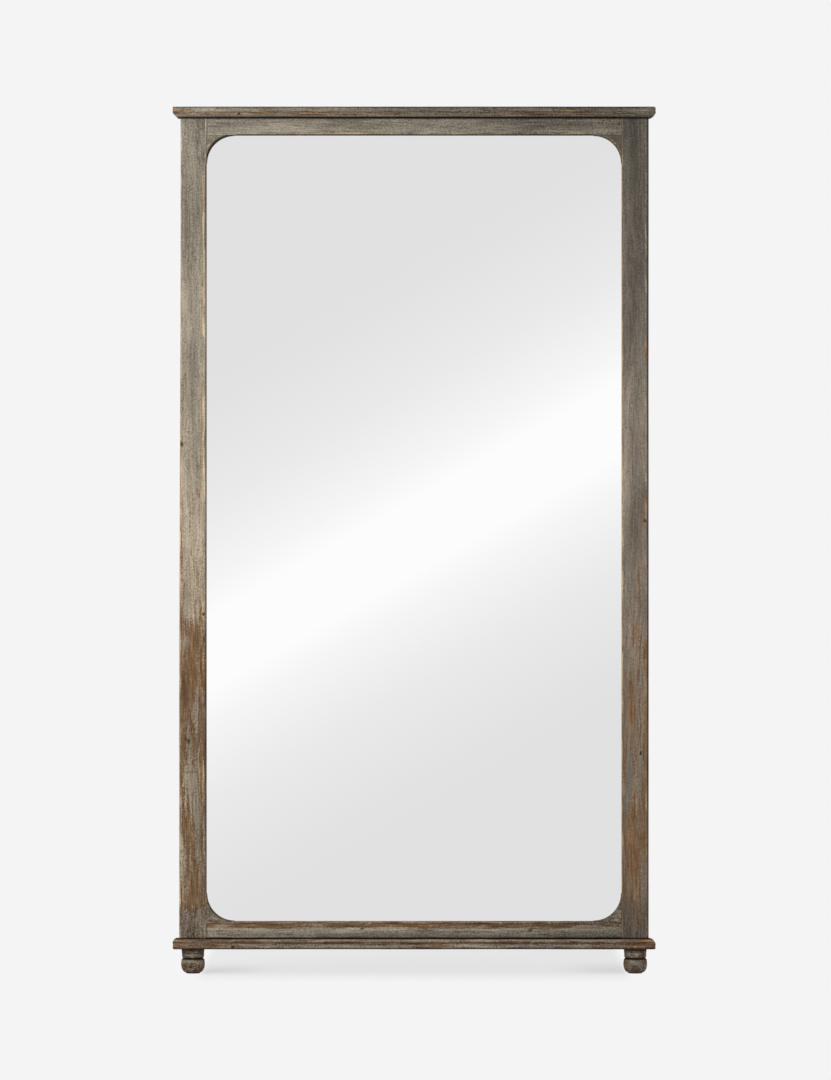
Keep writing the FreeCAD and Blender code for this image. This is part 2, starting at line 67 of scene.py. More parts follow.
# Where the shade is nil and where it is full: beside, before and behind the mirror, then about each foot.
SHADE_SIDE, SHADE_FRONT, SHADE_BACK = (0.505, 0.478), (-0.36, 0.0), (1.25, 0.90)
FOOT_SIDE, FOOT_FRONT, FOOT_BACK = (0.30, 0.47), (-0.07, 0.05), (0.45, 0.10)


def add(tree, kind, inputs=(), **settings):
    """One shader node. An input given as a node or a socket is linked, any other value is set."""
    made = tree.nodes.new("ShaderNode" + kind)
    for name, value in settings.items():
        setattr(made, name, value)
    for name, value in dict(inputs).items():
        if isinstance(value, bpy.types.Node):
            value = value.outputs[0]
        if isinstance(value, bpy.types.NodeSocket):
            tree.links.new(value, made.inputs[name])
        else:
            made.inputs[name].default_value = value
    return made


def reckon(tree, operation, first, *rest):
    """One operation on a row of numbers, worked from left to right."""
    for value in rest or (0.0,):
        first = add(tree, "Math", {0: first, 1: value}, operation=operation)
    return first


def ease(tree, value, low, high, bottom=0.0, top=1.0):
    """A smooth step: bottom up to low, top from high on, 3t² - 2t³ between."""
    return add(tree, "MapRange", {0: value, 1: low, 2: high, 3: bottom, 4: top},
               interpolation_type="SMOOTHSTEP")


def mixed(tree, share, first, second):
    """A colour between two colours, by a share from 0 to 1."""
    return add(tree, "Mix", {0: share, 6: first, 7: second}, data_type="RGBA").outputs[2]


def ramp(tree, share, stops):
    """A colour read off a row of (place, colour) stops."""
    made = add(tree, "ValToRGB", {0: share})
    for i, (place, colour) in enumerate(stops):
        stop = made.color_ramp.elements[i] if i < 2 else made.color_ramp.elements.new(place)
        stop.position, stop.color = place, colour
    return made.outputs[0]


def grey(value):
    """A grey as a colour."""
    return (value, value, value, 1)


def blank(name):
    """A new material, its empty node tree and the Object coordinates that its patterns read."""
    made = bpy.data.materials.new(name)
    made.use_nodes = True
    made.node_tree.nodes.clear()
    return made, made.node_tree, add(made.node_tree, "TexCoord").outputs["Object"]


scene = bpy.context.scene
scene.view_settings.view_transform = "Standard"

room = bpy.data.worlds.new("studio_room")
room.use_nodes = True
scene.world = room
tree = room.node_tree
tree.nodes.clear()
aim = add(tree, "SeparateXYZ", {0: add(tree, "TexCoord").outputs["Generated"]})
slant = reckon(tree, "SUBTRACT", reckon(tree, "MULTIPLY", aim.outputs["X"], BAND_RISE), aim.outputs["Z"])
level = reckon(tree, "MAXIMUM", reckon(tree, "ABSOLUTE", aim.outputs["Y"]), LEAST_LEVEL)
across = reckon(tree, "ADD", reckon(tree, "DIVIDE", slant, level), BAND_SHIFT)
across = reckon(tree, "ABSOLUTE", across)
band = ramp(tree, reckon(tree, "DIVIDE", across, BAND_HALF), [(place, grey(v)) for place, v in BAND])
far = ease(tree, reckon(tree, "PINGPONG", across, FAR_BAND), FAR_BAND * 0.4, FAR_BAND, 0.0, FAR_GLOW)
band = add(tree, "Mix", {0: 1.0, 6: band, 7: far}, data_type="RGBA", blend_type="ADD").outputs[2]
ray = add(tree, "LightPath")
walls = mixed(tree, ray.outputs["Is Glossy Ray"], grey(SOFT_LIGHT), band)
walls = mixed(tree, ray.outputs["Is Camera Ray"], walls, WHITE_WALL)
add(tree, "OutputWorld", {0: add(tree, "Background", {0: walls})})

lens = bpy.data.cameras.new("camera")
lens.sensor_width = FILM
lens.lens = FILM * CAMERA_AWAY / VIEW_HEIGHT
lens.clip_end = 100
camera = bpy.data.objects.new("camera", lens)
camera.location = (CAMERA_X, FACE_Y - CAMERA_AWAY, CAMERA_Z)
camera.rotation_euler = (radians(90), 0, 0)
scene.collection.objects.link(camera)
scene.camera = camera

bulb = bpy.data.lights.new("soft_lamp", "AREA")
bulb.shape, bulb.size, bulb.energy = "SQUARE", LAMP_SIZE, LAMP_POWER
lamp = bpy.data.objects.new("soft_lamp", bulb)
lamp.location = LAMP_PLACE
lamp.rotation_euler = (radians(LAMP_TILT), 0, radians(LAMP_TURN))
lamp.visible_glossy = False
scene.collection.objects.link(lamp)

# The floor is a light matt grey under the mirror, where it takes the shadow, strongest beside the feet, and
# goes over into the white of the wall further out.
paint, tree, spot = blank("white_floor")
spot = add(tree, "SeparateXYZ", {0: spot})
aside, back = reckon(tree, "ABSOLUTE", spot.outputs["X"]), spot.outputs["Y"]
by_foot = reckon(tree, "MULTIPLY", ease(tree, aside, *FOOT_SIDE, 0.0, FOOT_SHADE),
                 ease(tree, back, *FOOT_FRONT), ease(tree, back, *FOOT_BACK))
near = reckon(tree, "MULTIPLY", ease(tree, aside, *SHADE_SIDE), ease(tree, back, *SHADE_FRONT),
              ease(tree, back, *SHADE_BACK), reckon(tree, "ADD", by_foot, BOARD_SHADE))
far = reckon(tree, "MULTIPLY", reckon(tree, "SUBTRACT", 1.0, near),
             add(tree, "LightPath").outputs["Is Camera Ray"])
matt = add(tree, "AddShader", {0: add(tree, "BsdfDiffuse", {0: grey(FLOOR_WHITE)}),
                               1: add(tree, "Emission", {0: grey(FLOOR_LIFT)})})
plain = add(tree, "Emission", {0: WHITE_WALL})
add(tree, "OutputMaterial", {0: add(tree, "MixShader", {0: far, 1: matt, 2: plain})})
sheet = bpy.data.meshes.new("floor")
corners = np.array([(-1, -1, 0), (1, -1, 0), (1, 1, 0), (-1, 1, 0)]) * FLOOR_HALF
sheet.from_pydata(corners.tolist(), [], [(0, 1, 2, 3)])
sheet.materials.append(paint)
floor = bpy.data.objects.new("floor", sheet)
floor.visible_glossy = False
scene.collection.objects.link(floor)


# ---- The two stiles. Full-height posts of old timber, 63.5 by 48 mm, stepped behind for the glass and the
# back panel. Both are rubbed bare along the glass, and the left one has kept the most of its pale wash.
X_OUT, X_SIGHT = 0.5425, 0.479
BACK_Y = 0.0265
GLASS_Y, PANEL_Y = -0.0105, 0.0235
Z_BASE_TOP, Z_CORNICE_FOOT = 0.080, 1.975
Z_SIGHT_LOW, Z_SIGHT_HIGH = 0.1205, 1.9345
GLASS_REBATE, PANEL_REBATE = 0.009, 0.020
ARRIS_R, SIGHT_R = 0.0025, 0.004
BLOCK_LEG = 0.064           # how far a corner block covers the edge, which is rounded only past it
JOINT_GAP = 0.0002          # between two boards that meet
SHARP_R = 0.0004            # the edge's rounding behind a corner block
EASING = 0.003              # over which it becomes the full one
OUT_OF_REACH = 0.02         # keeps the edge's wear off the stretch behind a block
BEVEL, BEVEL_REACH = 0.0010, 0.0018     # the small bevel where a board meets the next one
DIRT_AND_SHADE_REACH = 0.0030                    # about how far the darkening comes out of a joint: dirt, and painted shade under the cornice and above the base
SIGHT_WEAR, ARRIS_WEAR = 0.005, 0.0034  # how far the wear reaches from the inner and from the outer edge
STRIP, STRIP_HALF = 0.0064, 0.0032      # the bare strip beside the glass: its middle and its half width
LEAN_FROM, LEAN_OVER, LEAN_PAST = 0.55, 1.2, 0.02   # up the stile, and from its edge at the glass
FIBRE_W, FIBRE_L, FIBRE_DEPTH = 0.0042, 0.06, 0.00009
BACK_WASH = 0.25            # little wash went on the back
REBATE_RINGS, STILE_RINGS = 7, 860
MIDDLE_Z = (Z_SIGHT_LOW + Z_SIGHT_HIGH) / 2


def outline(corners):
    """A closed outline, anticlockwise, from corners (x, y, radius, parts). A corner with a radius becomes a
    quarter turn, centre - cos t · leaving · r + sin t · arriving · r. parts divides the side after it."""
    points = []
    for i, (x, y, radius, parts) in enumerate(corners):
        here = np.array([x, y])
        before, after = np.array(corners[i - 1][:2]), np.array(corners[(i + 1) % len(corners)][:2])
        after_radius = corners[(i + 1) % len(corners)][2]
        arriving = (here - before) / max(np.linalg.norm(here - before), 1e-9)
        leaving = (after - here) / max(np.linalg.norm(after - here), 1e-9)
        if radius:
            t = np.linspace(0, pi / 2, 6)[:-1, None]
            centre = here - arriving * radius + leaving * radius
            points.append(centre - np.cos(t) * leaving * radius + np.sin(t) * arriving * radius)
        start, end = here + leaving * radius, after - leaving * after_radius
        points.append(start + (end - start) * np.arange(parts)[:, None] / parts)
    return np.concatenate(points)


def outward(points):
    """Unit normals of a closed anticlockwise outline: the line between both neighbours, turned clockwise."""
    along = np.roll(points, -1, 0) - np.roll(points, 1, 0)
    normal = np.stack([along[:, 1], -along[:, 0]], -1)
    return normal / np.maximum(np.linalg.norm(normal, axis=1, keepdims=True), 1e-9)


LATTICE = 48                # random numbers along each side of a block, which then repeats


def uneven(points, size, seed):
    """Smooth random values from -1 to 1. Random numbers stand on a lattice, size metres apart, and between
    them each axis blends with the weight 3t² - 2t³."""
    block = np.random.default_rng(seed).uniform(-1, 1, (LATTICE,) * 3)
    place = np.asarray(points) / size
    low = np.floor(place).astype(int)
    t = place - low
    t = t * t * (3 - 2 * t)
    total = 0.0
    for corner in product((0, 1), repeat=3):
        i = (low + corner) % LATTICE
        total = total + np.prod(np.where(corner, t, 1 - t), axis=-1) * block[i[..., 0], i[..., 1], i[..., 2]]
    return total


def ovals(x, z, marks):
    """A sum of soft ovals (x, z, half width, half height, amount): amount · exp(-dx² - dz²)."""
    return sum(amount * np.exp(-((x - mx) / a) ** 2 - ((z - mz) / b) ** 2) for mx, mz, a, b, amount in marks)


def between(place, pairs):
    """The value at each place, straight between the (place, value) pairs."""
    return np.interp(place, *np.array(pairs).T)


WELD = 1e-6                 # points nearer than this become one


def skin(name, rings, material, node, slot, body="frame", closed=False, sharp=38, **looks):
    """A closed piece from rings of points, or several such pieces at once. Each ring carries the same
    outline; neighbours are joined by four-sided faces, and the end rings are closed flat, or joined to each
    other when closed is true. The faces are turned round where the volume comes out negative. Looks are one
    number for each point."""
    shells = rings if rings.ndim == 4 else rings[None]
    number, rows, count = shells.shape[:3]
    row, col = np.meshgrid(np.arange(rows if closed else rows - 1), np.arange(count), indexing="ij")
    below, above, beside = row * count, (row + 1) % rows * count, (col + 1) % count
    quads = np.stack([below + col, below + beside, above + beside, above + col], -1).reshape(-1, 4)
    ends = np.zeros((0, count), int)
    if not closed:
        ends = np.stack([np.arange(count)[::-1], np.arange(count) + (rows - 1) * count])
    points = shells[0].reshape(-1, 3)
    triangles = [quads[:, [0, 1, 2]], quads[:, [0, 2, 3]]]
    triangles += [np.stack([np.full(count - 2, end[0]), end[1:-1], end[2:]], -1) for end in ends]
    a, b, c = (points[np.concatenate(triangles)[:, i]] for i in range(3))
    if np.sum(a * np.cross(b, c)) < 0:
        quads, ends = quads[:, ::-1], ends[:, ::-1]
    start = (np.arange(number) * rows * count)[:, None, None]
    faces = (start + quads).reshape(-1, 4).tolist() + (start + ends).reshape(-1, count).tolist()
    mesh = bpy.data.meshes.new(name)
    mesh.from_pydata(shells.reshape(-1, 3).tolist(), [], faces)
    for look, values in looks.items():
        stored = mesh.attributes.new(look, "FLOAT", "POINT")
        stored.data.foreach_set("value", np.broadcast_to(values, rings.shape[:-1]).astype(np.float32).ravel())
    shell = bmesh.new()
    shell.from_mesh(mesh)
    bmesh.ops.remove_doubles(shell, verts=shell.verts, dist=WELD)
    bmesh.ops.dissolve_degenerate(shell, dist=WELD, edges=shell.edges)
    shell.to_mesh(mesh)
    shell.free()
    mesh.shade_smooth()
    mesh.set_sharp_from_angle(angle=radians(sharp))
    mesh.materials.append(material)
    made = bpy.data.objects.new(name, mesh)
    scene.collection.objects.link(made)
    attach(made, body)
    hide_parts(node)
    return made


def card(red, green, blue):
    """A colour as a paint card reads, 0 to 255, in the linear values that a shader takes."""
    value = np.array([red, green, blue]) / 255
    linear = np.where(value <= 0.04045, value / 12.92, ((value + 0.055) / 1.055) ** 2.4)
    return (*(float(v) for v in linear), 1.0)


PALE_WASH = [(0.34, card(124, 117, 103)), (0.47, card(147, 139, 124)), (0.62, card(176, 167, 149))]
DARK_WASH = [(0.34, card(78, 72, 64)), (0.47, card(101, 95, 86)), (0.64, card(130, 121, 109))]
BARE_WOOD = [(0.34, card(88, 61, 38)), (0.46, card(116, 88, 60)), (0.55, card(132, 103, 73)),
             (0.68, card(156, 124, 88))]
RUBBED_EDGE = [(0.36, card(136, 110, 80)), (0.50, card(172, 148, 116)), (0.66, card(204, 184, 150))]
KNOT_WOOD = [(0.0, card(50, 36, 27)), (0.45, card(92, 66, 46)), (1.0, card(124, 94, 66))]
HONEY_EDGE = [(0.36, card(122, 84, 50)), (0.50, card(160, 118, 76)), (0.66, card(188, 152, 110))]
TAN_EDGE = [(0.36, card(112, 90, 66)), (0.50, card(146, 122, 94)), (0.66, card(176, 154, 124))]
# The darkest colour: cracks, pits and dirt, and also painted shade in joints, recesses and under the cornice.
GRIME_AND_SHADE = card(30, 24, 19)
WARM_TINT = (1.0, 0.89, 0.79, 1)


KNOT_LENGTH = 1.5           # a knot's length along the grain over its width
KNOT_PUSH, KNOT_SPREAD = 0.8, 0.6   # how far it pushes the grain aside, and how softly that fades
RING_STEP = 0.28            # between a knot's rings, as a share of its radius
WOOD_SHINE = 0.18


def on_vectors(tree, operation, first, second):
    """One operation on two vectors."""
    return add(tree, "VectorMath", {0: first, 1: second}, operation=operation)


def about_half(tree, noise, amount=1.0):
    """How far a noise lies from its middle value, a half, times an amount."""
    return reckon(tree, "MULTIPLY", reckon(tree, "SUBTRACT", noise, 0.5), amount)


def look(tree, name):
    """One of the looks that the mesh carries for each of its points."""
    return add(tree, "Attribute", attribute_name=name).outputs["Fac"]


def old_wood(name, along, start, wash=PALE_WASH, edge=RUBBED_EDGE, knots=(), curl=1.0):
    """Old timber under a thin worn wash. Noises drawn out along the grain give the fibres, the streaks and
    the mottling, others the specks and the pits. The wash covers by a smooth step of wash + streaks + fibres
    + specks, and the edge colour shows by one of the wear look + fibres + specks. Round a knot (x, z, radius)
    the grain is pushed aside, and its rings follow the distance to it. Fissures run where a drawn-out noise
    crosses a half. A larger curl makes the fibres shorter, as on a turned or sawn-out piece. The looks are
    the wash; the wear, which also carries painted highlight on edges made lighter where they face the lamp;
    the dirt, which also carries painted shade in joints, recesses and under the cornice; tone, which is added
    to the brightness; and warm, which tints the wash."""
    made, tree, spot = blank(name)
    nearest, pushed = None, spot
    across = {"x": (0, 0, 1), "z": (1, 0, 0)}[along]
    for x, z, radius in knots:
        squeeze = [1 / radius, 0, 1 / radius]
        squeeze[2 if along == "z" else 0] /= KNOT_LENGTH
        away = on_vectors(tree, "MULTIPLY", on_vectors(tree, "SUBTRACT", spot, (x, 0, z)), squeeze)
        reach = add(tree, "VectorMath", {0: away}, operation="LENGTH").outputs["Value"]
        nearest = reckon(tree, "MINIMUM", nearest, reach) if nearest else reach
        softened = reckon(tree, "ADD", reckon(tree, "MULTIPLY", reach, reach), KNOT_SPREAD)
        pull = reckon(tree, "DIVIDE", -KNOT_PUSH * radius, softened)
        push = on_vectors(tree, "MULTIPLY", away, across)
        push = add(tree, "VectorMath", {0: push, "Scale": pull}, operation="SCALE")
        pushed = on_vectors(tree, "ADD", pushed, push)
    turn = {"x": (0, radians(90), 0), "z": (0, 0, 0)}[along]
    board = add(tree, "Mapping", {0: pushed, 1: start, 2: turn})
    sway = add(tree, "TexNoise", {0: board, 2: 6.0, 3: 1.0}).outputs["Color"]
    sway = on_vectors(tree, "SUBTRACT", sway, (0.5, 0.5, 0.5))
    board = on_vectors(tree, "ADD", board, on_vectors(tree, "MULTIPLY", sway, (0.014, 0.014, 0.0)))
    drawn = add(tree, "Mapping", {0: board, 3: (1, 1, 0.055 * curl)})
    drawn_less = add(tree, "Mapping", {0: board, 3: (1, 1, 0.13 * curl)})
    fibre = add(tree, "TexNoise", {0: drawn, 2: 300.0, 3: 3.0, 4: 0.60})
    streak = add(tree, "TexNoise", {0: drawn_less, 2: 120.0, 3: 4.0, 4: 0.62})
    mottle = add(tree, "TexNoise", {0: drawn_less, 2: 26.0, 3: 3.0, 4: 0.55})
    speck = add(tree, "TexNoise", {0: board, 2: 300.0, 3: 3.0, 4: 0.75})
    pit = add(tree, "TexNoise", {0: add(tree, "Mapping", {0: board, 3: (1, 1, 0.4)}), 2: 360.0, 3: 2.0})
    crack = add(tree, "TexNoise", {0: drawn, 2: 150.0, 3: 2.0, 4: 0.5})

    timber = ramp(tree, add(tree, "Mix", {0: 0.5, 2: streak, 3: fibre}), BARE_WOOD)
    coat = add(tree, "Mix", {0: 0.5, 2: fibre, 3: speck})
    coat = ramp(tree, add(tree, "Mix", {0: 0.5, 2: mottle, 3: coat}), wash)
    coat = add(tree, "Mix", {0: look(tree, "warm"), 6: coat, 7: WARM_TINT}, data_type="RGBA",
               blend_type="MULTIPLY").outputs[2]
    kept = reckon(tree, "ADD", about_half(tree, streak, 1.5), look(tree, "wash"), about_half(tree, fibre),
                  about_half(tree, speck, 1.4))
    colour = mixed(tree, ease(tree, kept, 0.20, 0.80, 0.02, 0.97), timber, coat)

    ragged = reckon(tree, "ADD", about_half(tree, fibre), about_half(tree, speck))
    # Edge colour: bare worn wood, and a painted highlight on roundings that face the lamp.
    wear_and_highlight_share = ease(tree, reckon(tree, "ADD", look(tree, "worn"), ragged), 0.25, 0.85, 0.0, 0.9)
    colour = mixed(tree, wear_and_highlight_share, colour, ramp(tree, fibre, edge))

    line = ease(tree, reckon(tree, "ABSOLUTE", about_half(tree, crack)), 0.016, 0.0)
    line = reckon(tree, "MULTIPLY", line, ease(tree, streak, 0.42, 0.60, 0.0, 0.55))
    hollow = reckon(tree, "MULTIPLY", ease(tree, pit, 0.61, 0.72), ease(tree, mottle, 0.44, 0.60, 0.0, 0.50))
    # The dirt look holds real dirt and painted shade; both darken towards the darkest colour here.
    shade = reckon(tree, "MAXIMUM", line, hollow, look(tree, "dirt"))
    colour = mixed(tree, shade, colour, GRIME_AND_SHADE)
    if nearest:
        rings = reckon(tree, "ADD", nearest, reckon(tree, "MULTIPLY", ragged, 0.5))
        rings = reckon(tree, "DIVIDE", reckon(tree, "PINGPONG", rings, RING_STEP), RING_STEP)
        reach = reckon(tree, "ADD", nearest, ragged)
        colour = mixed(tree, ease(tree, reach, 1.25, 0.75, 0.0, 0.85), colour, ramp(tree, rings, KNOT_WOOD))
        heart = ease(tree, reach, 0.50, 0.30, 0.0, 0.8)
        colour = mixed(tree, heart, colour, GRIME_AND_SHADE)
        shade = reckon(tree, "MAXIMUM", shade, reckon(tree, "MULTIPLY", heart, 1.4))
    tone = reckon(tree, "ADD", look(tree, "tone"), 1.0, about_half(tree, mottle, 0.55),
                  about_half(tree, fibre, 0.55), about_half(tree, speck, 1.5))
    colour = add(tree, "HueSaturation", {"Color": colour, "Value": tone})

    height = reckon(tree, "ADD", fibre, reckon(tree, "MULTIPLY", streak, 0.6),
                    reckon(tree, "MULTIPLY", speck, 0.7))
    height = reckon(tree, "SUBTRACT", height, reckon(tree, "MULTIPLY", shade, 0.7))
    relief = add(tree, "Bump", {"Height": height, "Strength": 0.5, "Distance": 0.0005})
    gloss = ease(tree, mottle, 0.3, 0.7, 0.64, 0.88)
    add(tree, "OutputMaterial", {0: add(tree, "BsdfPrincipled", {
        "Base Color": colour, "Roughness": gloss, "Normal": relief, "Specular IOR Level": WOOD_SHINE})})
    return made


def wooden(node, rings, along, start, slot, worn, kept, tone, dirt, warm=0.0, darkest=0.95, **wood):
    """A wooden piece that stands for its CAD node, in old timber of its own, with its looks kept in range."""
    timber = old_wood(slot + "_" + node, along, start, **wood)
    skin(node + "_wood", rings, timber, node, slot, worn=np.clip(worn, 0, 1), wash=kept, tone=tone,
         dirt=np.clip(dirt, 0, darkest), warm=warm)


def stile_outline(steps, rounding):
    """The stile's section with neither rebate (0), the panel's (1) or both (2), and its edge at the glass
    rounded. The points of a missing rebate lie on the full section's sides, so all have the same number."""
    glass_x, panel_x = X_SIGHT + GLASS_REBATE, X_SIGHT + PANEL_REBATE
    step_y = BACK_Y if steps == 0 else PANEL_Y
    inner = (X_SIGHT, step_y) if steps < 2 else (glass_x, GLASS_Y)
    return outline([(X_SIGHT, FACE_Y, rounding, 46), (X_OUT, FACE_Y, ARRIS_R, 14), (X_OUT, BACK_Y, 0, 8),
                    (panel_x, BACK_Y, 0, 1), (panel_x, step_y, 0, 3), (glass_x, step_y, 0, 6),
                    (*inner, 0, 2), (X_SIGHT, GLASS_Y, 0, 3)])


def stile(node, side, lean, edges, wash_up, tone_up, warm_up, marks, knots, start, slot, seed, **wood):
    """A stile: its section carried up, with two rings at one place where a rebate ends, and its edge at the
    glass rounded only between the corner blocks. The faces give way inwards by long waves and fibres, the
    front edges by their wear, and both ends by a small bevel. The outer face stands in by the first of lean
    at the foot and by the second at the top. wash_up, tone_up and warm_up are (height, value) pairs. So are
    the first two of edges: how bare the strip beside the rounded edge is, and how dark the rounding is, as
    dirt and painted shade where it turns from the lamp, or below 0 how light, as a painted highlight in the
    worn edge colour where it faces the lamp. The third is how bare the outer edge is, or below 0 how dark,
    as painted shade on an edge turned from the lamp. marks are soft ovals for each look."""
    low_glass, high_glass = Z_SIGHT_LOW - GLASS_REBATE, Z_SIGHT_HIGH + GLASS_REBATE
    low_panel, high_panel = Z_SIGHT_LOW - PANEL_REBATE, Z_SIGHT_HIGH + PANEL_REBATE
    bottom, top = Z_BASE_TOP + JOINT_GAP, Z_CORNICE_FOOT - JOINT_GAP
    runs = [(bottom, low_panel, 12, 0), (low_panel, low_glass, REBATE_RINGS, 1),
            (low_glass, high_glass, STILE_RINGS, 2), (high_glass, high_panel, REBATE_RINGS, 1),
            (high_panel, top, 12, 0)]
    heights = np.concatenate([np.linspace(low, high, count) for low, high, count, _ in runs])
    covered = np.maximum(Z_SIGHT_LOW + BLOCK_LEG - heights, heights - Z_SIGHT_HIGH + BLOCK_LEG)
    covered = np.clip(1 + covered / EASING, 0, 1)[:, None, None]
    flat, square = (np.concatenate([np.repeat(stile_outline(steps, radius)[None], count, 0)
                                    for _, _, count, steps in runs]) for radius in (SIGHT_R, SHARP_R))
    flat = flat + (square - flat) * covered
    x, y, z = flat[..., 0], flat[..., 1], np.broadcast_to(heights[:, None], flat.shape[:2])
    place = np.stack([x, y, z], -1)

    sx, sy = stile_outline(2, SIGHT_R).T
    normal = outward(np.stack([sx, sy], -1))
    faces = (sy < FACE_Y + ARRIS_R) | (sx > X_OUT - ARRIS_R) | (sy > BACK_Y - 1e-4)
    sight = np.hypot(x - X_SIGHT, y - FACE_Y) + OUT_OF_REACH * covered[..., 0]
    outer = np.hypot(sx - X_OUT, sy - FACE_Y)
    arris = np.exp(-(outer / ARRIS_WEAR) ** 2)
    rubbing = uneven(place, (0.03, 0.03, 0.09), seed)
    chips = np.clip(uneven(place, (0.02, 0.02, 0.022), seed + 1) * 1.5 - 0.62, 0, 1)
    wave = 0.00025 * (1 + uneven(place, (0.05, 0.05, 0.35), seed + 2))
    fibres = FIBRE_DEPTH * (1 + uneven(place, (FIBRE_W, FIBRE_W, FIBRE_L), seed + 3))
    ends = np.minimum(z - Z_BASE_TOP, Z_CORNICE_FOOT - z)
    bevel = BEVEL * np.clip(1 - ends / BEVEL_REACH, 0, 1) ** 2
    depth = faces * (wave + fibres + bevel)
    depth = depth + np.exp(-(sight / SIGHT_WEAR) ** 2) * (0.0002 + 0.0005 * chips)
    depth = depth + arris * (0.0002 + 0.0003 * (1 + rubbing) + 0.0016 * chips)
    rings = place.copy()
    rings[..., :2] -= normal[None] * depth[..., None]
    rise = np.clip((z - LEAN_FROM) / LEAN_OVER, 0, 1)
    inwards = lean[0] + (lean[1] - lean[0]) * rise * rise * (3 - 2 * rise)
    leaning = np.clip((x - X_SIGHT - LEAN_PAST) / (X_OUT - X_SIGHT - LEAN_PAST), 0, 1)
    rings[..., 0] -= inwards * leaning
    rings[..., 0] *= side

    bare, rounding_dirt_and_shade, outside = edges
    strip = np.exp(-((x - X_SIGHT - STRIP) / STRIP_HALF) ** 2) * (y < FACE_Y + 0.001)
    rounded = np.clip(1 - (x - X_SIGHT) / 0.0045, 0, 1) * (y < GLASS_Y - 0.001) * (1 - covered[..., 0])
    up_bare, up_rounding_dirt_and_shade = between(z, bare), between(z, rounding_dirt_and_shade)
    line = np.exp(-((outer - 0.0018) / 0.0017) ** 2) * (1 + 0.6 * rubbing)
    worn = strip * up_bare * (0.9 + 0.35 * rubbing) * (1 - covered[..., 0]) + line * max(outside, 0)
    # Below 0 the rounding takes the worn edge colour: a painted highlight where it faces the lamp.
    worn = worn + rounded * np.clip(-up_rounding_dirt_and_shade, 0, 1) + ovals(side * x, z, marks["worn"]) * (y < 0)
    joint = np.exp(-((x - X_SIGHT - 0.0014) / 0.0011) ** 2) * ((z > MIDDLE_Z) | (side > 0)) * (y < 0)
    worn = worn + covered[..., 0] * joint * (0.75 + 0.5 * rubbing)
    kept = between(z, wash_up) + ovals(side * x, z, marks["wash"])
    kept = np.where(y > BACK_Y - 0.002, BACK_WASH, kept) - 0.25 * (x > X_OUT - 0.001) * (y > 0)
    tone = between(z, tone_up) + ovals(side * x, z, marks["tone"])
    tone = tone + 0.20 * strip * up_bare * (1 - covered[..., 0]) + 0.30 * line * max(outside, 0)
    tone = tone + 0.35 * covered[..., 0] * joint
    # Darker at both ends: dirt in the joints, and painted shade under the cornice and in the gap above the
    # base.
    dirt = 0.95 * np.clip(1.4 - ends / DIRT_AND_SHADE_REACH, 0, 1)
    # The lip's inner face beside the glass is darkened: painted shade in the recess.
    dirt = dirt + 0.6 * ((sx < X_SIGHT + 1e-4) & (sy > FACE_Y + 0.005))
    # Above 0 the rounding darkens: dirt, and painted shade where it turns from the lamp. Below 0 the outer
    # edge darkens as painted shade.
    dirt = dirt + rounded * np.clip(up_rounding_dirt_and_shade, 0, 1) + ovals(side * x, z, marks["dirt"]) * (y < 0)
    dirt = dirt + line * max(-outside, 0)
    wooden(node, rings, "z", start, slot, worn, kept, tone, dirt, between(z, warm_up), knots=knots, **wood)


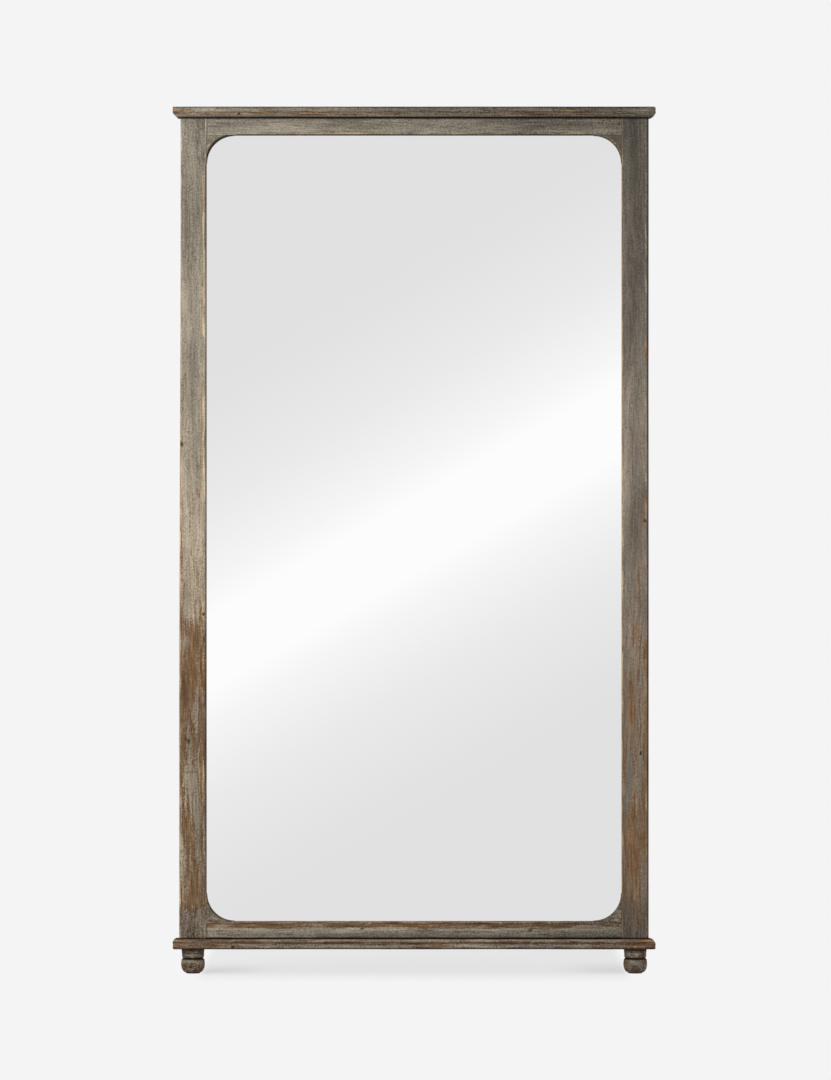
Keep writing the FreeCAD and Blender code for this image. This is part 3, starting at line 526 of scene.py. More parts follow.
stile("stile_left", -1, (0.0, 0.0032),
      ([(0.08, 0.3), (0.8, 0.35), (0.9, 0.5), (1.1, 0.85), (1.25, 1.1), (1.80, 1.2), (1.975, 0.8)],
       [(0.08, 0.45), (0.8, 0.55), (1.5, 0.60), (1.975, 0.75)], 1.1),
      [(0.08, 0.62), (0.12, 0.62), (0.17, 0.32), (0.30, 0.42), (0.42, 0.45), (0.55, 0.26), (0.66, 0.24),
       (0.78, 0.20), (0.82, 0.40), (0.87, 0.75), (1.1, 0.90), (1.7, 1.0), (1.975, 0.95)],
      [(0.08, -0.42), (0.14, -0.36), (0.17, -0.07), (0.45, -0.08), (0.55, -0.18), (0.75, -0.05), (0.86, 0.05),
       (1.10, 0.06), (1.30, -0.07), (1.6, -0.14), (1.80, -0.26), (1.975, -0.29)],
      [(0.08, 0.3), (0.5, 0.55), (0.85, 0.65), (1.0, 0.5), (1.2, 0.35), (1.4, 0.1), (1.975, 0.0)],
      {"wash": [(-0.540, 0.95, 0.005, 0.09, -0.45), (-0.500, 0.93, 0.010, 0.05, -0.20),
                (-0.528, 0.77, 0.010, 0.022, 0.55), (-0.505, 0.60, 0.009, 0.035, 0.5),
                (-0.500, 0.38, 0.007, 0.085, 0.5), (-0.518, 0.455, 0.009, 0.075, 0.4),
                (-0.490, 0.445, 0.006, 0.05, -0.5), (-0.522, 0.335, 0.012, 0.035, -0.5),
                (-0.510, 0.20, 0.010, 0.05, -0.4), (-0.511, 0.70, 0.006, 0.09, -0.3),
                (-0.512, 0.155, 0.020, 0.006, -0.7), (-0.534, 0.24, 0.006, 0.06, 0.35),
                (-0.520, 0.55, 0.006, 0.03, 0.35), (-0.520, 0.845, 0.012, 0.03, 0.35),
                (-0.498, 1.11, 0.006, 0.02, -0.5), (-0.536, 1.34, 0.005, 0.04, -0.4)],
       "tone": [(-0.526, 1.62, 0.012, 0.16, -0.10), (-0.497, 1.30, 0.010, 0.09, 0.25),
                (-0.530, 1.27, 0.010, 0.08, -0.15), (-0.523, 1.44, 0.004, 0.08, 0.18),
                (-0.504, 1.42, 0.012, 0.12, -0.14), (-0.536, 1.80, 0.006, 0.15, 0.12),
                (-0.493, 1.50, 0.006, 0.25, 0.10), (-0.520, 1.78, 0.010, 0.05, -0.08)],
       "worn": [(-0.487, 0.83, 0.003, 0.05, 0.5), (-0.486, 0.655, 0.002, 0.008, 1.0),
                (-0.487, 0.46, 0.003, 0.04, 0.6), (-0.537, 0.40, 0.003, 0.03, 0.5),
                (-0.512, 0.155, 0.016, 0.004, 0.5), (-0.541, 1.0, 0.002, 0.25, 0.5)],
       "dirt": [(-0.485, 0.773, 0.002, 0.012, 0.7), (-0.492, 0.62, 0.0015, 0.012, 0.6),
                (-0.520, 0.465, 0.016, 0.0015, 0.5), (-0.538, 1.222, 0.0015, 0.03, 0.5),
                (-0.505, 0.255, 0.0012, 0.015, 0.5), (-0.529, 0.30, 0.0012, 0.010, 0.5),
                (-0.541, 1.50, 0.0015, 0.35, 0.45), (-0.541, 0.50, 0.0015, 0.30, 0.3)]},
      [(-0.5365, 1.222, 0.0045), (-0.5205, 0.537, 0.0045), (-0.5265, 0.541, 0.0032),
       (-0.4855, 0.829, 0.0030)], (0.31, 0.12, 0.0), "pale_wood", 11)

stile("stile_right", 1, (0.0009, 0.0009),
      ([(0.08, 0.15), (1.2, 0.15), (1.975, 0.1)], [(0.08, -0.85), (1.975, -0.95)], -0.55),
      [(0.08, 0.60), (0.14, 0.60), (0.18, 0.42), (0.30, 0.42), (0.42, 0.52), (0.5, 0.62), (0.56, 0.54),
       (0.64, 0.60), (0.8, 0.76), (1.0, 0.88), (1.3, 0.95), (1.975, 1.0)],
      [(0.08, -0.28), (0.14, -0.20), (0.18, 0.02), (0.6, 0.18), (0.9, 0.48), (1.15, 0.60), (1.5, 0.22),
       (1.8, -0.17), (1.975, -0.22)],
      [(0.08, 0.2), (0.6, 0.2), (1.2, 0.20), (1.5, 0.05), (1.975, 0.0)],
      {"wash": [(0.536, 1.085, 0.004, 0.02, -0.6), (0.536, 1.44, 0.004, 0.03, -0.6),
                (0.511, 0.79, 0.006, 0.035, -0.4), (0.500, 0.62, 0.006, 0.07, -0.55),
                (0.504, 0.31, 0.006, 0.10, -0.45), (0.497, 0.44, 0.008, 0.05, 0.40),
                (0.538, 0.60, 0.005, 0.25, -0.45), (0.522, 0.93, 0.008, 0.14, -0.15),
                (0.528, 0.22, 0.008, 0.05, 0.35), (0.537, 1.20, 0.004, 0.08, -0.3)],
       "tone": [(0.510, 1.20, 0.012, 0.06, -0.10), (0.530, 1.30, 0.010, 0.2, 0.05),
                (0.500, 1.55, 0.010, 0.08, 0.10), (0.518, 1.33, 0.014, 0.02, -0.20),
                (0.525, 0.72, 0.012, 0.10, -0.08), (0.490, 0.9, 0.006, 0.9, 0.12)],
       "worn": [(0.5350, 1.62, 0.0015, 0.50, 0.80), (0.5350, 1.05, 0.0015, 0.12, 0.45),
                (0.5360, 0.33, 0.0020, 0.22, 0.7), (0.4975, 1.29, 0.004, 0.006, 0.3)],
       "dirt": [(0.5395, 1.55, 0.0014, 0.60, 0.6), (0.5395, 0.70, 0.0014, 0.40, 0.4),
                (0.5315, 1.245, 0.0014, 0.022, 0.6), (0.5050, 1.238, 0.0012, 0.014, 0.5),
                (0.5300, 0.500, 0.0014, 0.016, 0.7), (0.5180, 0.84, 0.0010, 0.010, 0.4)]},
      [(0.5305, 1.045, 0.0030), (0.5355, 1.044, 0.0034), (0.5230, 0.508, 0.0045), (0.4985, 0.672, 0.0022)],
      (0.77, 0.45, 3.0), "dark_wood", 23, wash=DARK_WASH, edge=TAN_EDGE)


# ---- The two rails. Narrower boards tenoned between the stiles, with the same rebates. The top one is
# pale grey on the left and darkens to the right, the bottom one is rubbed brown along its upper half.
RAIL_STRIP, RAIL_STRIP_HALF = 0.0044, 0.0021    # the bare strip above or below the glass
RAIL_RINGS = 520


def rail_outline(rounding):
    """The top rail's section, its edge at the glass rounded."""
    glass_z, panel_z = Z_SIGHT_HIGH + GLASS_REBATE, Z_SIGHT_HIGH + PANEL_REBATE
    return outline([(FACE_Y, Z_SIGHT_HIGH, rounding, 5), (GLASS_Y, Z_SIGHT_HIGH, 0, 3),
                    (GLASS_Y, glass_z, 0, 6), (PANEL_Y, glass_z, 0, 3), (PANEL_Y, panel_z, 0, 1),
                    (BACK_Y, panel_z, 0, 6), (BACK_Y, Z_CORNICE_FOOT, 0, 14),
                    (FACE_Y, Z_CORNICE_FOOT, 0, 32)])


def rail(node, end, edges, wash_across, tone_across, marks, knots, start, slot, seed, **wood):
    """A rail: its section, drawn for the top rail and turned over for the bottom one, carried from stile to
    stile, the edge at the glass rounded between the corner blocks. The front and back give way inwards by
    waves and fibres, the edge by its wear. The values are as a stile's, across instead of up, and the
    ovals' heights sway along the rail."""
    reach = X_SIGHT - JOINT_GAP
    along = np.linspace(-reach, reach, RAIL_RINGS)
    covered = np.clip(1 + (np.abs(along) - X_SIGHT + BLOCK_LEG) / EASING, 0, 1)[:, None, None]
    flat = rail_outline(SIGHT_R) + (rail_outline(SHARP_R) - rail_outline(SIGHT_R)) * covered
    y, z = flat[..., 0], flat[..., 1]
    x = np.broadcast_to(along[:, None], y.shape)
    place = np.stack([x, y, z], -1)
    normal = outward(rail_outline(SIGHT_R))
    faces = (y < FACE_Y + 0.0025) | (y > BACK_Y - 1e-4)
    sight = z - Z_SIGHT_HIGH + OUT_OF_REACH * covered[..., 0]
    rubbing = uneven(place, (0.09, 0.03, 0.03), seed)
    chips = np.clip(uneven(place, (0.022, 0.02, 0.02), seed + 1) * 1.5 - 0.62, 0, 1)
    wave = 0.0002 * (1 + uneven(place, (0.35, 0.05, 0.05), seed + 2))
    fibres = FIBRE_DEPTH * (1 + uneven(place, (FIBRE_L, FIBRE_W, FIBRE_W), seed + 3))
    rim = Z_CORNICE_FOOT - z
    bevel = BEVEL * np.clip(1 - rim / BEVEL_REACH, 0, 1) ** 2
    depth = faces * (wave + fibres + bevel)
    depth = depth + np.exp(-(sight / SIGHT_WEAR) ** 2) * (0.0001 + 0.0005 * chips)
    rings = place.copy()
    rings[..., 1:] -= normal[None] * depth[..., None]
    rings[..., 2] = MIDDLE_Z + end * (rings[..., 2] - MIDDLE_Z) - end * JOINT_GAP
    seen_z = rings[..., 2] + 0.0016 * uneven(np.stack([x, 0 * x, 0 * x], -1), 0.035, seed + 4)

    bare, rounding_dirt_and_shade = (between(x, pairs) for pairs in edges)
    strip = np.exp(-((sight - RAIL_STRIP) / RAIL_STRIP_HALF) ** 2) * (y < FACE_Y + 0.003)
    rounded = np.clip(1.6 - sight / 0.0018, 0, 1) * (y < GLASS_Y - 0.001)
    # The rounding at the glass: on the top rail, which faces down, dirt and painted shade; on the bottom
    # rail, which faces up, a painted highlight in the worn edge colour.
    worn = strip * bare * (0.8 + 0.6 * rubbing) + rounded * np.clip(-rounding_dirt_and_shade, 0, 1)
    worn = worn + ovals(x, seen_z, marks["worn"]) * (0.7 + 0.7 * rubbing) * (y < 0)
    kept = between(x, wash_across) + ovals(x, seen_z, marks["wash"])
    kept = np.where(y > BACK_Y - 0.002, BACK_WASH, kept)
    tone = between(x, tone_across) + ovals(x, seen_z, marks["tone"])
    # Darker along the edge at the cornice or at the base: dirt, and painted shade under the cornice and in
    # the gap above the base.
    dirt = 0.95 * np.clip(1.4 - rim / DIRT_AND_SHADE_REACH, 0, 1)
    # The lip's inner face above the glass is darkened: painted shade in the recess.
    dirt = dirt + 0.6 * ((z < Z_SIGHT_HIGH + 1e-4) & (y > FACE_Y + 0.005))
    dirt = dirt + rounded * np.clip(rounding_dirt_and_shade, 0, 1) + ovals(x, seen_z, marks["dirt"]) * (y < 0)
    wooden(node, rings, "x", start, slot, worn, kept, tone, dirt, knots=knots, **wood)


rail("top_rail", 1, ([(-0.48, 1.1), (0.0, 1.1), (0.48, 0.9)], [(-0.48, 0.85), (0.48, 0.8)]),
     [(-0.48, 0.95), (0.0, 0.90), (0.48, 0.9)],
     [(-0.48, -0.06), (-0.25, -0.12), (0.0, -0.46), (0.25, -0.49), (0.48, -0.49)],
     {"wash": [(-0.33, 1.965, 0.06, 0.004, -0.2)], "worn": [],
      "tone": [(0.0, 1.944, 0.9, 0.005, 0.06), (-0.05, 1.948, 0.12, 0.006, 0.12),
               (0.0, 1.968, 0.9, 0.004, 0.05)],
      "dirt": [(-0.18, 1.957, 0.02, 0.0008, 0.4), (0.22, 1.960, 0.03, 0.0008, 0.4),
               (-0.4778, 1.955, 0.0009, 0.03, 0.8)]},
     [], (0.2, 0.6, 1.1), "pale_wood", 31)
rail("bottom_rail", -1, ([(-0.48, 0.0), (0.48, 0.0)], [(-0.48, -0.75), (0.48, -0.70)]),
     [(-0.48, 0.70), (0.0, 0.66), (0.48, 0.66)], [(-0.48, -0.14), (0.0, -0.12), (0.3, -0.36), (0.48, -0.42)],
     {"wash": [(0.0, 0.1125, 0.9, 0.0060, -0.62), (0.0, 0.1020, 0.9, 0.0022, 0.35),
               (0.0, 0.089, 0.9, 0.008, 0.25), (-0.43, 0.092, 0.05, 0.006, -0.30),
               (0.41, 0.110, 0.05, 0.006, 0.35)],
      # The darker marks at 0.0890 and 0.0830 darken the rail just above the base: painted shade.
      "tone": [(0.0, 0.1020, 0.9, 0.0022, 0.26), (-0.20, 0.097, 0.3, 0.0025, 0.12),
               (0.0, 0.1155, 0.9, 0.0018, -0.18), (0.0, 0.0890, 0.9, 0.0055, -0.22)],
      "worn": [(-0.40, 0.110, 0.06, 0.003, 0.6), (0.05, 0.108, 0.35, 0.0025, 0.55)],
      "dirt": [(0.30, 0.103, 0.04, 0.0009, 0.6), (-0.15, 0.107, 0.05, 0.0008, 0.5),
               (0.0, 0.1160, 0.9, 0.0009, 0.35), (0.0, 0.0830, 0.9, 0.0022, 0.60),
               (-0.4778, 0.100, 0.0010, 0.018, 0.8)]},
     [(0.268, 0.100, 0.0035), (-0.12, 0.104, 0.003)], (0.9, 0.1, 2.0), "brown_wood", 41, edge=HONEY_EDGE)


# ---- The four corner blocks. Small rounded blocks, as thick as the lip in front of the glass, glued into
# the corners of the window. Their hollow edge is rounded over like the frame's and rubbed in patches.
BLOCK_R = 0.063
CURVE_RINGS, FRONT_STEPS = 91, 24


def corner_block(node, side, end, edges, kept, tone, start, slot, seed, **wood):
    """A corner block: a four-sided section that reaches from the hollow curve to the two legs, carried
    round the curve. A point q · width from the curve lies R - (R² - (R - q · width)²)^(1/2) behind the
    face while it is nearer than R. edges is how far and how much the hollow edge is darkened, by dirt and
    by painted shade that is strongest at the top left, where the edge turns from the lamp, then where and
    how much the worn line beside it is bare."""
    turn = np.linspace(0, 1, CURVE_RINGS)[:, None]
    centre = np.array([X_SIGHT - BLOCK_LEG, Z_SIGHT_HIGH - BLOCK_LEG])
    curve = centre + BLOCK_R * np.concatenate([np.sin(turn * pi / 2), np.cos(turn * pi / 2)], -1)
    legs = centre + BLOCK_LEG * np.clip(np.concatenate([2 * turn, 2 - 2 * turn], -1), 0, 1)
    width = np.linalg.norm(legs - curve, axis=1)[:, None]
    share = np.linspace(0, 1, FRONT_STEPS)[None] ** 1.6
    front = FACE_Y + SIGHT_R - np.sqrt(SIGHT_R ** 2 - np.clip(SIGHT_R - share * width, 0, SIGHT_R) ** 2)
    fall, rise = np.linspace(0, 1, 4)[None, 1:], np.linspace(1, 0, 4)[None, 1:-1]
    share = np.concatenate([share, np.ones((1, 3)), np.linspace(1, 0, 5)[None, 1:], np.zeros((1, 2))], 1)
    level = np.concatenate([front, front[:, -1:] + (GLASS_Y - front[:, -1:]) * fall,
                            np.full((CURVE_RINGS, 4), GLASS_Y),
                            front[:, :1] + (GLASS_Y - front[:, :1]) * rise], 1)
    share = np.broadcast_to(share, level.shape)
    flat = curve[:, None] * (1 - share[..., None]) + legs[:, None] * share[..., None]
    place = np.stack([flat[..., 0], level, flat[..., 1]], -1)
    facing = np.arange(level.shape[1]) < FRONT_STEPS
    sunk = facing * (0.00015 + 0.0002 * (1 + uneven(place, 0.03, seed)))
    rings = np.stack([side * (place[..., 0] - JOINT_GAP), np.minimum(level + sunk, GLASS_Y),
                      MIDDLE_Z + end * (place[..., 2] - MIDDLE_Z - JOINT_GAP)], -1)
    from_edge = share * width
    rubbing = uneven(place, 0.020, seed + 1)
    reach, rounding_dirt_and_shade, line, bare = edges
    worn = np.exp(-((from_edge - line) / 0.0016) ** 2) * facing * bare * (1 + 0.4 * rubbing)
    # Darker along the hollow edge, dirt and painted shade, and on the inner face beside the glass, painted
    # shade in the recess.
    dirt = np.exp(-(from_edge / reach) ** 4) * facing * rounding_dirt_and_shade + 0.6 * (level > FACE_Y + 0.005)
    dirt = dirt + (0.45 + 0.3 * rubbing) * np.exp(-((width - from_edge) / 0.0011) ** 2) * facing
    wooden(node, rings, "x", start, slot, worn, kept + 0.2 * rubbing, tone, dirt, curl=4.0, **wood)


corner_block("corner_block_top_left", -1, 1, (0.0060, 0.97, 0.0090, 0.85), 0.95, -0.18,
             (0.4, 0.3, 0.7), "pale_wood", 51)
corner_block("corner_block_bottom_left", -1, -1, (0.0034, 0.75, 0.0075, 0.60), 0.72, -0.36,
             (1.4, 0.3, 1.7), "pale_wood", 53, edge=HONEY_EDGE)
corner_block("corner_block_top_right", 1, 1, (0.0012, 0.30, 0.0036, 1.0), 0.95, -0.16,
             (2.4, 0.3, 2.7), "dark_wood", 55, wash=DARK_WASH, edge=TAN_EDGE)
corner_block("corner_block_bottom_right", 1, -1, (0.0012, 0.40, 0.0038, 0.80), 0.78, -0.46,
             (3.4, 0.3, 3.7), "brown_wood", 57, edge=TAN_EDGE)


# ---- The cornice and the base. Planks moulded along the front and both ends: a rounded nose, an upright
# fascia and a quarter round towards the frame. Dowels hold the one, screws the other.
X_NOSE, NOSE_Y = 0.5575, -0.0365
NOSE_R, END_R = 0.0035, 0.006   # the nose's rounding, drawn out at the worn ends
NEAR_END = [0, 0.1, 0.3, 0.6, 1, 1.5, 2.1, 2.8, 3.5, 4.3, 5.2, 6.2, 7.2, 8.2, 9.4, 10.8, 12]   # in mm
PLANK_RINGS = 240               # from there to the middle


def plank(node, square_z, up, fascia, height, ends, wash_across, tone_across, marks, knots, start, slot,
          seed):
    """A moulded plank. Its section, as (inset from the nose, rise from the square face), is carried across,
    and near both ends its rise is held between the end moulding's own curves. The faces give way inwards
    by waves, fibres and dents, the edges by their wear, and a worn line parts fascia and quarter round.
    ends is, for the left and then for the right end, how far its quarter round is worn down to a straight
    slope, and how wide and how high the corner is rounded away."""
    quarter = np.linspace(0, pi / 2, 7)
    ovolo_r = height - fascia
    depth_all = BACK_Y - NOSE_Y
    outline_points = [(NOSE_R * (1 - np.sin(a)), NOSE_R * (1 - np.cos(a))) for a in quarter]
    outline_points += [(0, h) for h in np.linspace(NOSE_R, fascia, 9)[1:]]
    outline_points += [(ovolo_r * (1 - np.cos(a)), fascia + ovolo_r * np.sin(a))
                       for a in np.linspace(0, pi / 2, 14)[1:]]
    outline_points += [(i, height) for i in np.linspace(ovolo_r, depth_all, 14)[1:]]
    outline_points += [(depth_all, h) for h in np.linspace(height, 0, 9)[1:]]
    outline_points += [(i, 0) for i in np.linspace(depth_all, NOSE_R, 20)[1:-1]]
    section = np.array(outline_points)
    normal = outward(section)
    inset, rise = section.T
    if np.sum(inset * np.roll(rise, -1) - rise * np.roll(inset, -1)) < 0:
        normal = -normal

    away = np.concatenate([np.array(NEAR_END) / 1000, np.linspace(0.0145, X_NOSE, PLANK_RINGS)])
    away = np.concatenate([away, away[-2::-1]])[:, None]
    side = np.sign(np.linspace(-1, 1, len(away)))[:, None]
    low = NOSE_R * (1 - np.sqrt(1 - np.clip(1 - away / END_R, 0, 1) ** 2))
    bulge = np.clip(ovolo_r ** 2 - np.clip(ovolo_r - away, 0, ovolo_r) ** 2, 0, 1)
    slope, reach, drop = (np.where(side < 0, left, right) for left, right in zip(*ends))
    high = fascia + (1 - slope) * np.sqrt(bulge) + slope * np.clip(away, 0, ovolo_r)
    high = np.minimum(high, height - drop * (1 - np.sqrt(1 - np.clip(1 - away / reach, 0, 1) ** 2)))
    x = np.broadcast_to(side * (X_NOSE - away), (len(away), len(section)))
    place = np.stack([x, np.broadcast_to(NOSE_Y + inset, x.shape), square_z + up * rise + 0 * x], -1)
    rubbing = uneven(place, (0.05, 0.02, 0.02), seed)
    chips = np.clip(uneven(place, (0.022, 0.012, 0.012), seed + 1) * 1.6 - 0.62, 0, 1)
    wave = 0.0003 * (1 + uneven(place, (0.22, 0.02, 0.02), seed + 2))
    fibres = 0.00012 * (1 + uneven(place, (0.05, 0.0035, 0.0035), seed + 3))
    nose = np.exp(-(np.hypot(inset - 0.0007, rise - 0.0007) / 0.0024) ** 2)
    lip = np.exp(-(np.hypot(inset, rise - fascia + 0.0018) / 0.0020) ** 2)
    groove = np.exp(-(np.hypot(inset, rise - fascia - 0.0006) / 0.0011) ** 2)
    depth = wave + fibres + (nose + lip) * (0.0002 * (1 + rubbing) + 0.0011 * chips) + 0.0005 * groove
    depth = depth * np.clip(away / 0.004, 0.15, 1) * (inset < depth_all - 1e-5)
    moved = section[None] - normal[None] * depth[..., None]
    held = np.clip(moved[..., 1], low + 0.00005, high - 0.00005)
    corner = np.exp(-(np.clip(away, 0, 1) / 0.003) ** 2) * np.exp(-(inset / 0.004) ** 2)
    end_wear = 0.0004 * (1 + uneven(place[..., [1, 1, 2]] + side[..., None], 0.006, seed + 4))
    end_wear = end_wear + 0.0012 * corner
    rings = np.stack([x - side * end_wear * np.clip(1 - away / 0.012, 0, 1), NOSE_Y + moved[..., 0],
                      square_z + up * held], -1)
    ending = np.exp(-(away / 0.004) ** 2)
    worn = 0.35 * nose * (0.6 + rubbing) + lip * (0.5 + 0.9 * rubbing) + 0.5 * ending * (0.6 + rubbing)
    worn = worn + ovals(x, rings[..., 2], marks["worn"]) * (0.85 + 0.8 * rubbing) * (inset < 0.012)
    # The flat face past the quarter round, where the plank meets the frame, is darkened: painted shade in
    # that corner. The groove is darkened too.
    dirt = 0.9 * np.clip((inset - 0.0110) / 0.002, 0, 1) * (rise > height - 1e-4) + 0.5 * groove
    dirt = dirt + 0.85 * np.exp(-(rise / 0.0030) ** 2) * (inset < 0.006) * np.clip(away / 0.008, 0, 1)
    dirt = dirt + ovals(x, rings[..., 2], marks["dirt"]) * (inset < 0.016)
    kept = between(x, wash_across) + ovals(x, rings[..., 2], marks["wash"])
    kept = np.where(inset > depth_all - 1e-4, 0.2, kept)
    tone = between(x, tone_across) + ovals(x, rings[..., 2], marks["tone"])
    wooden(node, rings, "x", start, slot, worn, kept, tone, dirt, edge=HONEY_EDGE, knots=knots)


plank("cornice", 2.0, -1, 0.013, 0.025, ((1.0, 0.001, 0.0), (0.45, 0.001, 0.0)),
      [(-0.56, 0.50), (-0.50, 0.80), (0.0, 0.78), (0.5, 0.80)],
      [(-0.56, 0.05), (-0.53, -0.22), (-0.3, -0.35), (0.0, -0.48), (0.56, -0.66)],
      {"wash": [(-0.25, 1.9830, 0.3, 0.003, -0.4), (0.40, 1.9830, 0.3, 0.003, -0.4)],
       "tone": [(0.0, 1.9910, 0.9, 0.0030, 0.08), (0.0, 1.9840, 0.9, 0.0022, 0.16),
                (0.0, 1.9800, 0.9, 0.002, 0.10)],
       "worn": [(-0.38, 1.9842, 0.20, 0.0017, 0.9), (0.0, 1.9842, 0.20, 0.0015, 0.7),
                (0.36, 1.9842, 0.20, 0.0016, 0.75), (-0.556, 1.990, 0.006, 0.006, 0.5)],
       # The band at 1.9748 is painted shade under the cornice's quarter round.
       "dirt": [(0.0, 1.9748, 0.9, 0.0022, 0.90), (0.0, 1.9815, 0.9, 0.0008, 0.30),
                (0.0, 1.9868, 0.9, 0.0007, 0.30), (-0.404, 1.9835, 0.004, 0.0015, 0.6)]},
      [(-0.404, 1.983, 0.0030)], (4.1, 0.5, 0.3), "brown_wood", 61)
plank("base_plank", 0.0565, 1, 0.0155, 0.0235, ((0.2, 0.006, 0.008), (0.0, 0.016, 0.0137)),
      [(-0.56, 0.42), (0.0, 0.50), (0.56, 0.42)],
      [(-0.56, -0.42), (-0.3, -0.40), (0.0, -0.36), (0.56, -0.38)],
      {"wash": [(-0.2, 0.066, 0.10, 0.003, 0.4), (0.25, 0.067, 0.12, 0.003, 0.4),
                (-0.53, 0.063, 0.03, 0.004, -0.4), (0.53, 0.066, 0.03, 0.004, -0.4)],
       # The tone mark at 0.0780 lightens the top of the quarter round: a painted highlight where it faces the
       # light.
       "tone": [(0.0, 0.0637, 0.9, 0.0026, 0.34), (0.0, 0.0780, 0.9, 0.0028, 0.50),
                (0.0, 0.0590, 0.9, 0.0016, -0.15)],
       "worn": [(0.53, 0.075, 0.03, 0.003, 1.0), (-0.535, 0.074, 0.02, 0.003, 0.5),
                # The wear mark at 0.0780 is part of the same painted highlight.
                (0.0, 0.0780, 0.9, 0.0018, 0.45), (0.53, 0.066, 0.03, 0.002, 0.6)],
       "dirt": [(0.0, 0.0708, 0.9, 0.0010, 0.60), (0.3, 0.0655, 0.012, 0.0012, 0.6),
                (-0.3, 0.0635, 0.015, 0.0010, 0.6), (0.46, 0.0645, 0.02, 0.0010, 0.6)]},
      [(-0.418, 0.0625, 0.0035)], (5.3, 0.7, 0.9), "brown_wood", 71)


# ---- The two feet. Turned buns of brown timber: a slightly hollow neck, a narrow groove and a ball, each
# on a bolt up into the stile and with a felt pad beneath.
FOOT_X, FOOT_Y, PAD_T = 0.51075, -0.0025, 0.002
FOOT_H, NECK_LOW = 0.0545, 0.0347   # heights above the pad: the foot's top and the neck's lower rim
BALL_R, BALL_Z = 0.0278, 0.020      # the widest place of the ball
BALL_TOP, FLAT_R = 0.0317, 0.0165   # the ball's upper rim and the flat under it
GROOVE = [(0.0322, 0.0245), (0.0327, 0.0238), (0.0337, 0.0238), (0.0342, 0.0245)]   # height, radius
NECK_R, NECK_FLARE, NECK_HOLLOW = 0.0256, 0.0014, 0.0012
FOOT_STEPS = 144


def belly(z, wide_r, wide_z, end_r, end_z):
    """The ball's radius at height z: a quarter ellipse, upright at its widest place, that reaches end_r at
    end_z."""
    return end_r + (wide_r - end_r) * np.sqrt(1 - ((z - wide_z) / (end_z - wide_z)) ** 2)


def foot(node, side, tone, marks, start, slot, seed):
    """A turned foot: its outline, as radius over height, carried round the upright axis, with shallow dents
    and chips pressed inwards. marks are soft ovals (angle from the front, height) for each look."""
    low, high = np.linspace(0, 1, 26) ** 1.4 * BALL_Z, np.linspace(BALL_Z, BALL_TOP, 16)[1:]
    neck = np.linspace(NECK_LOW, FOOT_H - JOINT_GAP, 22)
    share = (neck - NECK_LOW) / (FOOT_H - NECK_LOW)
    groove_z, groove_r = np.array(GROOVE).T
    z = np.concatenate([low, high, groove_z, neck])[:, None]
    r = np.concatenate([belly(low, BALL_R, BALL_Z, FLAT_R, 0.0), belly(high, BALL_R, BALL_Z, 0.0247, 0.0324),
                        groove_r, NECK_R + NECK_FLARE * share - NECK_HOLLOW * share * (1 - share)])
    angle = np.linspace(0, 2 * pi, FOOT_STEPS, endpoint=False)
    radius = np.broadcast_to(r[:, None], (len(r), FOOT_STEPS))
    place = np.stack([radius * np.cos(angle), radius * np.sin(angle), z + 0 * radius], -1)
    dents = 0.00025 * (1 + uneven(place, (0.012, 0.012, 0.02), seed))
    fibres = 0.00008 * (1 + uneven(place, (0.003, 0.003, 0.03), seed + 1))
    rims = np.exp(-((z - BALL_TOP) / 0.0012) ** 2) + np.exp(-((z - NECK_LOW) / 0.0012) ** 2)
    chips = np.clip(uneven(place, 0.007, seed + 2) * 1.5 - 0.4, 0, 1)
    worn_r = radius - dents - fibres - rims * (0.0002 + 0.0009 * chips)
    rings = np.stack([side * FOOT_X + worn_r * np.cos(angle), FOOT_Y + worn_r * np.sin(angle),
                      PAD_T + z + 0 * radius], -1)
    rubbing = uneven(place, 0.011, seed + 3)
    turned = np.angle(np.exp(1j * (angle + pi / 2)))[None] + 0 * radius
    looks = {name: ovals(turned, place[..., 2], marks[name]) for name in marks}
    worn = rims * (0.2 + 0.6 * rubbing) + looks["worn"] * (0.6 + rubbing)
    # Darker in the groove, at the ball's underside by the floor, and at the neck's top under the base:
    # painted shade.
    dirt = 0.97 * np.exp(-((z - 0.0324) / 0.0030) ** 4) + 0.8 * np.clip(1 - z / 0.004, 0, 1)
    dirt = dirt + 0.75 * np.clip((place[..., 2] - 0.048) / 0.004, 0, 1) + looks["dirt"]
    wooden(node, rings, "x", start, slot, worn, 0.30 + 0.35 * rubbing + looks["wash"], tone + looks["tone"],
           dirt, darkest=0.97, edge=HONEY_EDGE, curl=5.0)


